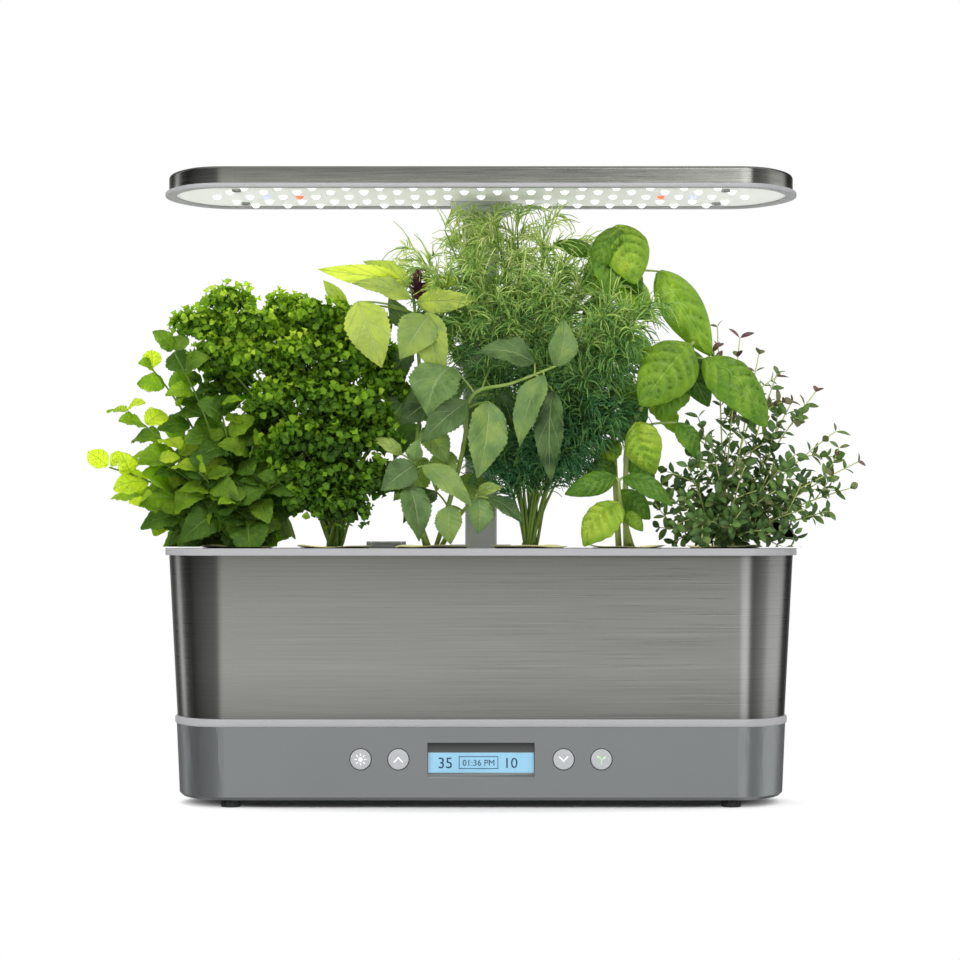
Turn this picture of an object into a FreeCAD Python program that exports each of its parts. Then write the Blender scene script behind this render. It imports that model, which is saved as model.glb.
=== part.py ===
import FreeCAD, Part
import math
import os

# Countertop hydroponic garden: a long tank on a control base, a telescopic mast with an LED lamp, six herbs.
# Millimetres. Origin on the worktop under the middle of the tank, +X to the right, +Y to the back, +Z up.

# Plan outline, shared by tank, base and lamp
garden_width = 420.0
garden_depth = 130.0
corner_radius = 32.0
corner_turn = 52.0

# Stack, from the worktop up
foot_height = 5.0
foot_diameter = 13.0
foot_side_margin = 47.0
foot_edge_margin = 21.0
base_height = 47.5
base_edge = 2.0
base_bottom_inset = 9.5
base_top_inset = 7.5
base_wall = 2.5
cover_sheet = 3.0
band_height = 5.3
band_inset = 6.5
band_width = 10.5
wrap_height = 106.0
wrap_bottom_inset = 8.0
wrap_top_inset = 2.5
wrap_sheet = 0.6
tank_wall = 2.4
tank_floor = 3.0
rim_height = 4.6
rim_width = 4.5
deck_recess = 0.8
deck_plate = 2.4
fit_gap = 0.2
slide_gap = 0.3

# Control panel
panel_width = 69.5
panel_bottom = 17.5
panel_top = 42.6
panel_depth = 2.6
panel_scoop = 4.5
screen_width = 68.6
screen_height = 13.1
screen_centre_z = 29.45
window_sheet = 1.2
lcd_depth = 7.0
lcd_border = 3.0
board_length = 192.0
board_height = 32.0
board_sheet = 1.6
board_mount_x = 92.0
board_mount_z = 11.0
button_x = (-78.0, -53.5, 53.5, 78.0)
button_names = ("button_light", "button_up", "button_down", "button_plants")
button_z = 31.8
button_diameter = 13.4
button_hole = 14.4
button_flange = 17.4
button_proud = 0.7
button_travel = 1.0
switch_size = 6.0
switch_height = 3.4

# Power inlet at the back
jack_side_margin = 60.0
jack_z = 24.0
jack_diameter = 11.0
jack_socket = 5.5
jack_pin = 2.1
jack_length = 14.0

# Pods
pod_pitch = 65.0
pod_count = 6
pod_hole = 40.0
basket_flange = 46.0
basket_lip = 1.2
basket_wall = 1.2
basket_depth = 50.0
basket_foot = 30.0
sponge_gap = 0.1
sponge_top_drop = 2.0
label_diameter = 50.0
label_sheet = 0.4
label_hole = 26.0

# Fill port, lid and float
port_x = -65.0
port_back_margin = 23.0
port_width = 30.0
port_depth = 20.0
lid_margin = 3.0
lid_sheet = 2.0
hinge_pin = 2.0
hinge_wall = 1.4
float_diameter = 20.0
float_height = 12.0
float_rest_z = 70.0
float_travel = 70.0
float_rod = 4.0

# Pump
pump_width = 38.0
pump_length = 34.0
pump_height = 30.0
pump_chamber = 24.0
pump_chamber_depth = 12.0
pump_cover_sheet = 2.5
pump_shaft_diameter = 3.0
pump_shaft_gap = 0.05
impeller_diameter = 21.0
impeller_width = 8.0
impeller_hub = 8.0
impeller_blades = 6
blade_sheet = 1.4
outlet_diameter = 10.0
outlet_bore = 6.0
outlet_top_z = 158.0

# Mast
mast_back_margin = 22.0
post_width = 21.5
post_depth = 13.9
post_wall = 2.0
post_bottom_z = 124.0
post_top_z = 384.0
cap_sheet = 3.0
socket_wall = 2.5
socket_floor = 3.0
socket_flange = 7.0
socket_flange_sheet = 3.0
sleeve_width = 24.8
sleeve_depth = 17.2
sleeve_bottom_z = 250.0
lamp_travel = 72.0
neck_width = 41.0
neck_depth = 27.0
neck_height = 5.7
collar_width = 31.0
collar_depth = 21.0
collar_height = 1.5
cable_diameter = 4.0
cable_bottom_z = 210.0

# Lamp
lamp_bottom_z = 401.5
bezel_height = 2.9
bezel_ledge = 7.0
bezel_wall = 4.0
bezel_ledge_height = 1.5
led_board_sheet = 1.2
spreader_sheet = 1.5
spreader_inset = 6.0
lamp_height = 14.0
cover_inset = 2.5
cover_steel = 0.8
cover_round = 2.4
frame_bar = 4.0
frame_ribs = (-120.0, -60.0, 60.0, 120.0)
led_diameter = 5.6
led_drop = 2.2
led_row_edge = 15.0
led_row_y = 27.0
led_pitch = 22.0
led_end_margin = 26.0
red_led_x = (-121.0, 120.0)
blue_led_x = (-143.0, 141.0)
colour_led_y = 0.0
lamp_screw_side_margin = 50.0
lamp_screw_edge_margin = 27.0
lamp_screw_head = 6.0
lamp_screw_shank = 3.0
lamp_screw_head_height = 1.6

# Base screws
screw_x = (-120.0, 120.0)
screw_edge_margin = 22.0
screw_shank = 3.0
screw_head = 6.0
screw_head_height = 1.8
screw_length = 14.0
boss_size = 9.0
boss_height = 18.0

# Heights worked out from the stack
base_top_z = foot_height + base_height
tank_bottom_z = base_top_z + band_height
rim_bottom_z = tank_bottom_z + wrap_height
rim_top_z = rim_bottom_z + rim_height
deck_top_z = rim_top_z - deck_recess
label_bottom_z = deck_top_z + basket_lip
sponge_top_z = label_bottom_z - sponge_top_drop
board_bottom_z = lamp_bottom_z + bezel_ledge_height
spreader_bottom_z = board_bottom_z + led_board_sheet
bezel_top_z = lamp_bottom_z + bezel_height
lamp_top_z = lamp_bottom_z + lamp_height
neck_bottom_z = spreader_bottom_z - neck_height - 2.7
pod_x = [(i - (pod_count - 1) / 2) * pod_pitch for i in range(pod_count)]

# Places worked out from the plan
half_width = garden_width / 2
half_depth = garden_depth / 2
foot_x = half_width - foot_side_margin
foot_y = half_depth - foot_edge_margin
jack_x = half_width - jack_side_margin
port_y = half_depth - port_back_margin
screw_y = half_depth - screw_edge_margin
mast_y = half_depth - mast_back_margin
float_x = pod_x[0] + pod_pitch / 2
pump_x = pod_x[-1] - pod_pitch / 2
led_rows_y = (led_row_edge - half_depth, -led_row_y, 0.0, led_row_y, half_depth - led_row_edge)
lamp_screw_x = (lamp_screw_side_margin - half_width, half_width - lamp_screw_side_margin)
lamp_screw_y = (lamp_screw_edge_margin - half_depth, half_depth - lamp_screw_edge_margin)

os.makedirs("parts", exist_ok=True)


def vec(x, y, z):
    return FreeCAD.Vector(x, y, z)


def plan_wire(inset, z):
    """Garden outline seen from above, set in by inset: straight front and back, small corner arcs, wide end arcs."""
    turn = math.radians(corner_turn)
    straight = garden_depth / 2 - corner_radius
    reach = straight / math.cos(turn)
    end_x = garden_width / 2 - reach - corner_radius
    corner_x = end_x + reach * math.sin(turn)
    small = corner_radius - inset
    tip_x = end_x + reach + small

    def on_corner(angle, side_x, side_y):
        x = corner_x + small * math.sin(angle)
        y = straight + small * math.cos(angle)
        return vec(side_x * x, side_y * y, z)

    edges = [Part.LineSegment(on_corner(0, -1, -1), on_corner(0, 1, -1)).toShape()]
    for side_x, order in ((1, (-1, 1)), (-1, (1, -1))):
        first, second = order
        start = on_corner(0, side_x, first)
        bend = on_corner(turn, side_x, first)
        edges.append(Part.Arc(start, on_corner(turn / 2, side_x, first), bend).toShape())
        back_bend = on_corner(turn, side_x, second)
        edges.append(Part.Arc(bend, vec(side_x * tip_x, 0, z), back_bend).toShape())
        finish = on_corner(0, side_x, second)
        edges.append(Part.Arc(back_bend, on_corner(turn / 2, side_x, second), finish).toShape())
        if side_x == 1:
            edges.append(Part.LineSegment(finish, on_corner(0, -1, second)).toShape())
    return Part.Wire(edges)


def prism(inset, z0, z1):
    return Part.Face(plan_wire(inset, z0)).extrude(vec(0, 0, z1 - z0))


def taper(inset0, z0, inset1, z1):
    return Part.makeLoft([plan_wire(inset0, z0), plan_wire(inset1, z1)], True, True)


def block(x0, x1, y0, y1, z0, z1):
    return Part.makeBox(x1 - x0, y1 - y0, z1 - z0, vec(x0, y0, z0))


def block_at(x, y, width, depth, z0, z1):
    return block(x - width / 2, x + width / 2, y - depth / 2, y + depth / 2, z0, z1)


def rod(diameter, x, y, z0, z1):
    return Part.makeCylinder(diameter / 2, z1 - z0, vec(x, y, z0))


def rod_y(diameter, x, z, y0, y1):
    return Part.makeCylinder(diameter / 2, y1 - y0, vec(x, y0, z), vec(0, 1, 0))


def save(name, shapes):
    """One STEP file for one sub-part; a list holds its separate solids."""
    solids = shapes if isinstance(shapes, list) else [shapes]
    whole = Part.makeCompound(solids) if len(solids) > 1 else solids[0]
    whole.exportStep(os.path.join("parts", name + ".step"))


def base_front_y(z):
    """Outside face of the control base at height z, on its straight front."""
    share = (z - foot_height) / base_height
    return -garden_depth / 2 + base_bottom_inset + (base_top_inset - base_bottom_inset) * share


def base_inner_y(z):
    """Inside face of the control base at height z, on its straight front."""
    share = (z - foot_height) / base_height
    low = base_bottom_inset + base_edge + base_wall
    return -garden_depth / 2 + low + (base_top_inset + base_wall - low) * share


panel_face_y = base_front_y((panel_bottom + panel_top) / 2)
window_back_y = panel_face_y + panel_depth + window_sheet
board_front_y = window_back_y + lcd_depth
board_back_y = board_front_y + board_sheet
button_face_y = base_front_y(button_z)
inner_wall_y = button_face_y + base_wall
flange_front_y = base_inner_y(button_z - button_flange / 2) + fit_gap
switch_front_y = board_front_y - switch_height


def base_housing():
    low = foot_height + base_edge
    inset_low = base_bottom_inset + (base_top_inset - base_bottom_inset) * base_edge / base_height
    foot = taper(base_bottom_inset + base_edge, foot_height, inset_low, low)
    body = foot.fuse(taper(inset_low, low, base_top_inset, base_top_z))
    hollow_low = base_bottom_inset + base_edge + base_wall
    hollow = taper(hollow_low, foot_height, base_top_inset + base_wall, base_top_z)
    shell = body.cut(hollow)
    back = window_back_y
    pad = block(-panel_width / 2 - 5, panel_width / 2 + 5, panel_face_y + 1, back, panel_bottom - 5, panel_top + 4)
    shell = shell.fuse(pad)
    scoop = [
        vec(0, panel_face_y - 4, panel_top),
        vec(0, panel_face_y + panel_depth, panel_top),
        vec(0, panel_face_y + panel_depth, panel_bottom + panel_scoop),
        vec(0, panel_face_y - 4, panel_bottom - panel_scoop * 0.6),
    ]
    scoop = Part.Face(Part.makePolygon(scoop + scoop[:1])).extrude(vec(panel_width, 0, 0))
    scoop.translate(vec(-panel_width / 2, 0, 0))
    shell = shell.cut(scoop)
    half = screen_height / 2 + fit_gap / 2
    wide = screen_width / 2 + fit_gap / 2
    z = screen_centre_z
    shell = shell.cut(block(-wide, wide, panel_face_y, back + 1, z - half, z + half))
    wide = screen_width / 2 + lcd_border + fit_gap
    half = screen_height / 2 + lcd_border + fit_gap
    shell = shell.cut(block(-wide, wide, back, board_front_y, screen_centre_z - half, screen_centre_z + half))
    for x in (-board_mount_x, board_mount_x):
        for z in (screen_centre_z - board_mount_z, screen_centre_z + board_mount_z):
            shell = shell.fuse(rod_y(6.0, x, z, inner_wall_y - 0.8, board_front_y))
            shell = shell.cut(rod_y(2.5, x, z, board_front_y - 4, board_front_y))
    for x in screw_x:
        for side in (-1, 1):
            wall_y = garden_depth / 2 - base_bottom_inset - 1.4
            start = screw_y - boss_size / 2
            boss = block(x - boss_size / 2, x + boss_size / 2, start, wall_y, cover_top_z, cover_top_z + boss_height)
            if side < 0:
                boss = boss.mirror(vec(0, 0, 0), vec(0, 1, 0))
            shell = shell.fuse(boss)
            shell = shell.cut(rod(screw_shank, x, side * screw_y, cover_top_z, cover_top_z + screw_length))
    for x in button_x:
        shell = shell.cut(rod_y(button_hole, x, button_z, button_face_y - 3, inner_wall_y + 3))
    rear = garden_depth / 2
    shell = shell.cut(rod_y(jack_diameter + 2 * fit_gap, jack_x, jack_z, rear - 16, rear))
    return shell


cover_bottom_z = foot_height
cover_top_z = cover_bottom_z + cover_sheet


def bottom_cover():
    plate = prism(base_bottom_inset + base_edge + base_wall + fit_gap, cover_bottom_z, cover_top_z)
    for x in screw_x:
        for y in (-screw_y, screw_y):
            plate = plate.cut(rod(screw_shank, x, y, cover_bottom_z, cover_top_z))
            plate = plate.cut(rod(screw_head + 2 * fit_gap, x, y, cover_bottom_z, cover_bottom_z + screw_head_height))
    for x in range(-100, 101, 20):
        plate = plate.cut(block_at(x, 0, 3, 30, cover_bottom_z, cover_top_z))
    return plate


def base_screws():
    screws = []
    for x in screw_x:
        for y in (-screw_y, screw_y):
            head_top = cover_bottom_z + screw_head_height
            head = rod(screw_head, x, y, cover_bottom_z + 0.4, head_top)
            shank = rod(screw_shank, x, y, head_top, cover_top_z + screw_length - 1)
            screws.append(head.fuse(shank))
    return screws


def rubber_feet():
    feet = []
    for x in (-foot_x, foot_x):
        for y in (-foot_y, foot_y):
            foot = rod(foot_diameter, x, y, 0, foot_height)
            low_edge = min(foot.Edges, key=lambda edge: edge.BoundBox.ZMax)
            feet.append(foot.makeFillet(0.8, [low_edge]))
    return feet


def trim_band():
    outer = prism(band_inset, base_top_z, tank_bottom_z)
    return outer.cut(prism(band_inset + band_width, base_top_z, tank_bottom_z))


def tank_bowl():
    low = wrap_bottom_inset + wrap_sheet + fit_gap
    high = wrap_top_inset + wrap_sheet + fit_gap
    body = taper(low, tank_bottom_z, high, rim_bottom_z)
    hollow = taper(low + tank_wall, tank_bottom_z, high + tank_wall, rim_bottom_z)
    hollow = hollow.common(block(-300, 300, -200, 200, tank_bottom_z + tank_floor, rim_bottom_z))
    bowl = body.cut(hollow)
    return bowl


def steel_wrap():
    outer = taper(wrap_bottom_inset, tank_bottom_z, wrap_top_inset, rim_bottom_z)
    return outer.cut(taper(wrap_bottom_inset + wrap_sheet, tank_bottom_z, wrap_top_inset + wrap_sheet, rim_bottom_z))


def socket_outline():
    width = post_width + 2 * (fit_gap + socket_wall)
    depth = post_depth + 2 * (fit_gap + socket_wall)
    return width, depth


def grow_deck():
    deck = prism(0, rim_bottom_z, rim_top_z)
    deck = deck.cut(prism(rim_width, deck_top_z, rim_top_z))
    under = prism(wrap_top_inset + wrap_sheet + tank_wall + 1, rim_bottom_z, deck_top_z - deck_plate)
    deck = deck.cut(under)
    for x in pod_x:
        deck = deck.cut(rod(pod_hole, x, 0, rim_bottom_z, rim_top_z))
    deck = deck.cut(block_at(port_x, port_y, port_width, port_depth, rim_bottom_z, rim_top_z))
    width, depth = socket_outline()
    deck = deck.cut(block_at(0, mast_y, width + 2 * fit_gap, depth + 2 * fit_gap, rim_bottom_z, rim_top_z))
    for x in (port_x - hinge_span / 2, port_x + hinge_span / 2):
        ear = block_at(x, hinge_y, ear_width, ear_depth, deck_top_z - 0.5, hinge_z)
        ear = ear.fuse(Part.makeCylinder(ear_depth / 2, ear_width, vec(x - ear_width / 2, hinge_y, hinge_z), vec(1, 0, 0)))
        pin_bore = Part.makeCylinder(hinge_pin / 2, ear_width, vec(x - ear_width / 2, hinge_y, hinge_z), vec(1, 0, 0))
        deck = deck.fuse(ear).cut(pin_bore)
    return deck


ear_width = 3.0
ear_depth = hinge_pin + 2 * hinge_wall
hinge_span = port_width - 2 * lid_margin
lid_back_y = port_y + port_depth / 2 + lid_margin
hinge_y = lid_back_y + ear_depth / 2 - 1.4
hinge_z = deck_top_z + ear_depth / 2 + 0.4


def fill_lid():
    low = deck_top_z + slide_gap
    front = port_y - port_depth / 2 - lid_margin
    lid = block(port_x - port_width / 2 - lid_margin, port_x + port_width / 2 + lid_margin, front, lid_back_y, low, low + lid_sheet)
    tab = block_at(port_x, front - 2, 12, 4, low, low + lid_sheet)
    lid = lid.fuse(tab)
    barrel_half = hinge_span / 2 - ear_width / 2 - slide_gap
    start = vec(port_x - barrel_half, hinge_y, hinge_z)
    barrel = Part.makeCylinder(ear_depth / 2, 2 * barrel_half, start, vec(1, 0, 0))
    lid = lid.fuse(barrel)
    for x in (port_x - hinge_span / 2, port_x + hinge_span / 2):
        notch = block_at(x, hinge_y, ear_width + 2 * slide_gap, ear_depth + 2 * slide_gap, low - 1, hinge_z + ear_depth)
        lid = lid.cut(notch)
    bore = Part.makeCylinder(hinge_pin / 2 + 0.05, 2 * barrel_half, start, vec(1, 0, 0))
    return lid.cut(bore)


def fill_lid_pin():
    length = hinge_span + ear_width
    return Part.makeCylinder(hinge_pin / 2, length, vec(port_x - length / 2, hinge_y, hinge_z), vec(1, 0, 0))


def control_board():
    board = block(-board_length / 2, board_length / 2, board_front_y, board_back_y,
                  screen_centre_z - board_height / 2, screen_centre_z + board_height / 2)
    for x in (-board_mount_x, board_mount_x):
        for z in (screen_centre_z - board_mount_z, screen_centre_z + board_mount_z):
            board = board.cut(rod_y(2.5, x, z, board_front_y, board_back_y))
    return board


def board_screws():
    screws = []
    for x in (-board_mount_x, board_mount_x):
        for z in (screen_centre_z - board_mount_z, screen_centre_z + board_mount_z):
            head = rod_y(5.0, x, z, board_back_y, board_back_y + 1.6)
            screws.append(head.fuse(rod_y(2.5, x, z, board_front_y - 3.5, board_back_y)))
    return screws


def lcd_module():
    half_x = screen_width / 2 + lcd_border
    half_z = screen_height / 2 + lcd_border
    return block(-half_x, half_x, window_back_y, board_front_y, screen_centre_z - half_z, screen_centre_z + half_z)


def display_window():
    half_x = screen_width / 2
    half_z = screen_height / 2
    return block(-half_x, half_x, window_back_y - window_sheet, window_back_y,
                 screen_centre_z - half_z, screen_centre_z + half_z)


def button(x):
    cap = rod_y(button_diameter, x, button_z, button_face_y - button_proud, flange_front_y)
    front_edge = min(cap.Edges, key=lambda edge: edge.BoundBox.YMax)
    cap = cap.makeFillet(0.6, [front_edge])
    flange = rod_y(button_flange, x, button_z, flange_front_y, flange_front_y + 1.0)
    stem = rod_y(4.0, x, button_z, flange_front_y + 1.0, switch_front_y - button_travel - 0.1)
    return cap.fuse([flange, stem])


def tact_switches():
    switches = []
    for x in button_x:
        z = button_z
        half = switch_size / 2
        body = block(x - half, x + half, switch_front_y + 1.0, board_front_y, z - half, z + half)
        switches.append(body.fuse(rod_y(3.4, x, z, switch_front_y, switch_front_y + 1.0)))
    return switches


def power_jack():
    face_y = garden_depth / 2 - base_bottom_inset
    barrel = rod_y(jack_diameter, jack_x, jack_z, face_y - jack_length, face_y + 0.4)
    nut = rod_y(jack_diameter + 4, jack_x, jack_z, face_y - base_wall - 3.6, face_y - base_wall - 1.2)
    socket = rod_y(jack_socket, jack_x, jack_z, face_y - 9.0, face_y + 0.4)
    pin = rod_y(jack_pin, jack_x, jack_z, face_y - 9.0, face_y - 1.0)
    return barrel.fuse(nut).cut(socket).fuse(pin)


def basket_profile(top_radius, foot_radius, top_z, bottom_z, x):
    points = [vec(x, 0, bottom_z), vec(x + foot_radius, 0, bottom_z), vec(x + top_radius, 0, top_z), vec(x, 0, top_z)]
    face = Part.Face(Part.makePolygon(points + points[:1]))
    return face.revolve(vec(x, 0, 0), vec(0, 0, 1), 360)


def basket_radius(z):
    """Outside radius of a grow basket at height z: it narrows evenly from the deck hole to its foot."""
    share = (deck_top_z - z) / basket_depth
    top = pod_hole / 2 - slide_gap
    return top + (basket_foot / 2 - top) * share


def grow_baskets():
    baskets = []
    bottom_z = deck_top_z - basket_depth
    for x in pod_x:
        cone = basket_profile(basket_radius(deck_top_z), basket_radius(bottom_z), deck_top_z, bottom_z, x)
        lip = rod(basket_flange, x, 0, deck_top_z, label_bottom_z)
        inner_low = bottom_z + basket_wall
        hollow = basket_profile(basket_radius(label_bottom_z) - basket_wall, basket_radius(inner_low) - basket_wall,
                                label_bottom_z, inner_low, x)
        basket = cone.fuse(lip).cut(hollow)
        for turn in (0, 90):
            slot = block_at(0, 0, 2 * pod_hole, 5, bottom_z + 14, bottom_z + 36)
            slot.rotate(vec(0, 0, 0), vec(0, 0, 1), turn)
            slot.translate(vec(x, 0, 0))
            basket = basket.cut(slot)
        baskets.append(basket)
    return baskets


def grow_sponges():
    sponges = []
    bottom_z = deck_top_z - basket_depth + basket_wall
    for x in pod_x:
        top_radius = basket_radius(sponge_top_z) - basket_wall - sponge_gap
        foot_radius = basket_radius(bottom_z) - basket_wall - sponge_gap
        sponges.append(basket_profile(top_radius, foot_radius, sponge_top_z, bottom_z, x))
    return sponges


def pod_labels():
    labels = []
    for x in pod_x:
        disc = rod(label_diameter, x, 0, label_bottom_z, label_bottom_z + label_sheet)
        labels.append(disc.cut(rod(label_hole, x, 0, label_bottom_z, label_bottom_z + label_sheet)))
    return labels


pump_bottom_z = tank_bottom_z + tank_floor
pump_top_z = pump_bottom_z + pump_height
pump_axis_z = pump_bottom_z + pump_height / 2
pump_front_y = -pump_length / 2
impeller_back_y = pump_front_y + pump_chamber_depth - 1.5
shaft_back_y = pump_front_y + pump_chamber_depth + 12.0


def pump_body():
    body = block_at(pump_x, 0, pump_width, pump_length, pump_bottom_z, pump_top_z)
    chamber = rod_y(pump_chamber, pump_x, pump_axis_z, pump_front_y, pump_front_y + pump_chamber_depth)
    bore = rod_y(pump_shaft_diameter, pump_x, pump_axis_z, pump_front_y, shaft_back_y)
    outlet_y = pump_front_y + pump_chamber_depth / 2
    outlet = rod(outlet_bore, pump_x, outlet_y, pump_axis_z, pump_top_z)
    return body.cut(chamber).cut(bore).cut(outlet)


def pump_cover():
    front = pump_front_y - pump_cover_sheet
    plate = block(pump_x - pump_width / 2, pump_x + pump_width / 2, front, pump_front_y, pump_bottom_z, pump_top_z)
    for i in range(-2, 3):
        x = pump_x + i * 5.0
        plate = plate.cut(block(x - 1.0, x + 1.0, front, pump_front_y, pump_axis_z + 3, pump_axis_z + 10))
        plate = plate.cut(block(x - 1.0, x + 1.0, front, pump_front_y, pump_axis_z - 10, pump_axis_z - 3))
    return plate


def pump_shaft():
    return rod_y(pump_shaft_diameter, pump_x, pump_axis_z, pump_front_y, shaft_back_y)


def pump_impeller():
    front = impeller_back_y - impeller_width
    hub = rod_y(impeller_hub, pump_x, pump_axis_z, front, impeller_back_y)
    for i in range(impeller_blades):
        blade = block(-blade_sheet / 2, blade_sheet / 2, front, impeller_back_y, impeller_hub / 2 - 1, impeller_diameter / 2)
        blade.rotate(vec(0, 0, 0), vec(0, 1, 0), i * 360 / impeller_blades)
        blade.translate(vec(pump_x, 0, pump_axis_z))
        hub = hub.fuse(blade)
    bore = rod_y(pump_shaft_diameter + 2 * pump_shaft_gap, pump_x, pump_axis_z, front, impeller_back_y)
    return hub.cut(bore)


def outlet_tube():
    y = pump_front_y + pump_chamber_depth / 2
    tube = rod(outlet_diameter, pump_x, y, pump_top_z, outlet_top_z)
    tube = tube.cut(rod(outlet_bore, pump_x, y, pump_top_z, outlet_top_z - 3))
    for z in (outlet_top_z - 8,):
        tube = tube.cut(rod_y(4.0, pump_x, z, y - outlet_diameter, y))
    return tube


def float_guide():
    bottom = tank_bottom_z + tank_floor
    guide = rod(float_rod, float_x, 0, bottom, deck_top_z - deck_plate)
    return guide.fuse(rod(12.0, float_x, 0, bottom, float_rest_z))


def water_float():
    drum = rod(float_diameter, float_x, 0, float_rest_z, float_rest_z + float_height)
    return drum.cut(rod(float_rod + 2 * slide_gap, float_x, 0, float_rest_z, float_rest_z + float_height))


def mast_socket():
    width, depth = socket_outline()
    flange_top = deck_top_z + socket_flange_sheet
    socket = block_at(0, mast_y, width, depth, post_bottom_z - socket_floor, flange_top)
    wide = width + 2 * socket_flange
    flange = block(-wide / 2, wide / 2, mast_y - depth / 2 - 2, mast_y + depth / 2 + 2, deck_top_z, flange_top)
    flange = flange.makeFillet(2.0, [e for e in flange.Edges if abs(e.BoundBox.ZLength - socket_flange_sheet) < 0.01])
    socket = socket.fuse(flange)
    hole = block_at(0, mast_y, post_width + 2 * fit_gap, post_depth + 2 * fit_gap, post_bottom_z, flange_top)
    return socket.cut(hole)


def mast_tube(width, depth, wall, z0, z1):
    outer = block_at(0, mast_y, width, depth, z0, z1)
    outer = outer.makeFillet(2.0, [e for e in outer.Edges if abs(e.BoundBox.ZLength - (z1 - z0)) < 0.01])
    return outer.cut(block_at(0, mast_y, width - 2 * wall, depth - 2 * wall, z0, z1))


def mast_post():
    return mast_tube(post_width, post_depth, post_wall, post_bottom_z, post_top_z)


def mast_cap():
    cap = block_at(0, mast_y, post_width, post_depth, post_top_z, post_top_z + cap_sheet)
    cap = cap.makeFillet(2.0, [e for e in cap.Edges if abs(e.BoundBox.ZLength - cap_sheet) < 0.01])
    return cap.cut(rod(cable_diameter + 4, 0, mast_y, post_top_z, post_top_z + cap_sheet))


def mast_sleeve():
    wall = (sleeve_width - post_width) / 2 - slide_gap
    return mast_tube(sleeve_width, sleeve_depth, wall, sleeve_bottom_z, spreader_bottom_z)


def neck_bracket():
    neck = block_at(0, mast_y, neck_width, neck_depth, neck_bottom_z, spreader_bottom_z)
    neck = neck.makeFillet(2.5, [e for e in neck.Edges if abs(e.BoundBox.ZLength - (spreader_bottom_z - neck_bottom_z)) < 0.01])
    collar = block_at(0, mast_y, collar_width, collar_depth, neck_bottom_z - collar_height, neck_bottom_z)
    neck = neck.fuse(collar)
    sleeve = block_at(0, mast_y, sleeve_width, sleeve_depth, neck_bottom_z - 3, spreader_bottom_z)
    tall = [e for e in sleeve.Edges if abs(e.BoundBox.ZLength - (spreader_bottom_z - neck_bottom_z + 3)) < 0.01]
    return neck.cut(sleeve.makeFillet(2.0, tall))


def lamp_cable():
    return rod(cable_diameter, 0, mast_y, cable_bottom_z, spreader_bottom_z)


def lamp_bezel():
    outer = prism(0, lamp_bottom_z, bezel_top_z)
    outer = outer.cut(prism(bezel_ledge, lamp_bottom_z, bezel_top_z))
    return outer.cut(prism(bezel_wall, board_bottom_z, bezel_top_z))


def led_board():
    board = prism(bezel_wall + slide_gap, board_bottom_z, spreader_bottom_z)
    opening = block_at(0, mast_y, neck_width + 2 * fit_gap, neck_depth + 2 * fit_gap, board_bottom_z, spreader_bottom_z)
    board = board.cut(opening)
    for x in lamp_screw_x:
        for y in lamp_screw_y:
            board = board.cut(rod(lamp_screw_shank, x, y, board_bottom_z, spreader_bottom_z))
    return board


def heat_spreader():
    plate = prism(spreader_inset, spreader_bottom_z, spreader_bottom_z + spreader_sheet)
    for x in lamp_screw_x:
        for y in lamp_screw_y:
            plate = plate.cut(rod(lamp_screw_shank, x, y, spreader_bottom_z, spreader_bottom_z + spreader_sheet))
    return plate


def lamp_frame():
    z0 = spreader_bottom_z + spreader_sheet
    z1 = lamp_top_z - cover_steel
    ring = prism(spreader_inset, z0, z1).cut(prism(spreader_inset + frame_bar, z0, z1))
    inside = prism(spreader_inset + frame_bar / 2, z0, z1)
    for x in frame_ribs:
        rib = block_at(x, 0, frame_bar, garden_depth, z0, z1).common(inside)
        ring = ring.fuse(rib)
    return ring


def lamp_cover():
    cover = prism(cover_inset, bezel_top_z, lamp_top_z)
    top_edges = [e for e in cover.Edges if e.BoundBox.ZMin > lamp_top_z - 0.01]
    cover = cover.makeFillet(cover_round, top_edges)
    return cover.cut(prism(cover_inset + cover_steel, bezel_top_z, lamp_top_z - cover_steel))


def lamp_screws():
    screws = []
    for x in lamp_screw_x:
        for y in lamp_screw_y:
            head = rod(lamp_screw_head, x, y, board_bottom_z - lamp_screw_head_height, board_bottom_z)
            screws.append(head.fuse(rod(lamp_screw_shank, x, y, board_bottom_z, spreader_bottom_z + spreader_sheet)))
    return screws


def led_dome(x, y):
    """One LED: a lens cap under the board, shallower than a half ball."""
    radius = led_diameter / 2
    ball_radius = (radius * radius + led_drop * led_drop) / (2 * led_drop)
    ball = Part.makeSphere(ball_radius, vec(x, y, board_bottom_z - led_drop + ball_radius))
    return ball.common(rod(led_diameter + 1, x, y, board_bottom_z - led_drop - 1, board_bottom_z))


def led_places():
    """Staggered rows of white LEDs inside the outline, clear of the neck, the screws and the coloured LEDs."""
    places = []
    coloured = [(x, colour_led_y) for x in red_led_x + blue_led_x]
    screws = [(x, y) for x in lamp_screw_x for y in lamp_screw_y]
    for row, y in enumerate(led_rows_y):
        reach = garden_width / 2 - led_end_margin - (0.9 * (abs(y) - 20) if abs(y) > 20 else 0)
        count = int(reach // led_pitch)
        shift = led_pitch / 2 if row % 2 else 0.0
        for i in range(-count, count + 1):
            x = i * led_pitch + shift
            near_neck = abs(x) < neck_width / 2 + 6 and y > mast_y - neck_depth / 2 - 5
            crowded = any(math.hypot(x - cx, y - cy) < 9 for cx, cy in coloured + screws)
            if abs(x) <= reach and not near_neck and not crowded:
                places.append((x, y))
    return places


def triangle_solid(triangles):
    faces = [Part.Face(Part.makePolygon([a, b, c, a])) for a, b, c in triangles]
    shell = Part.Shell(faces)
    shell.sewShape()
    solid = Part.Solid(shell)
    if solid.Volume < 0:
        solid.reverse()
    return solid


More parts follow.
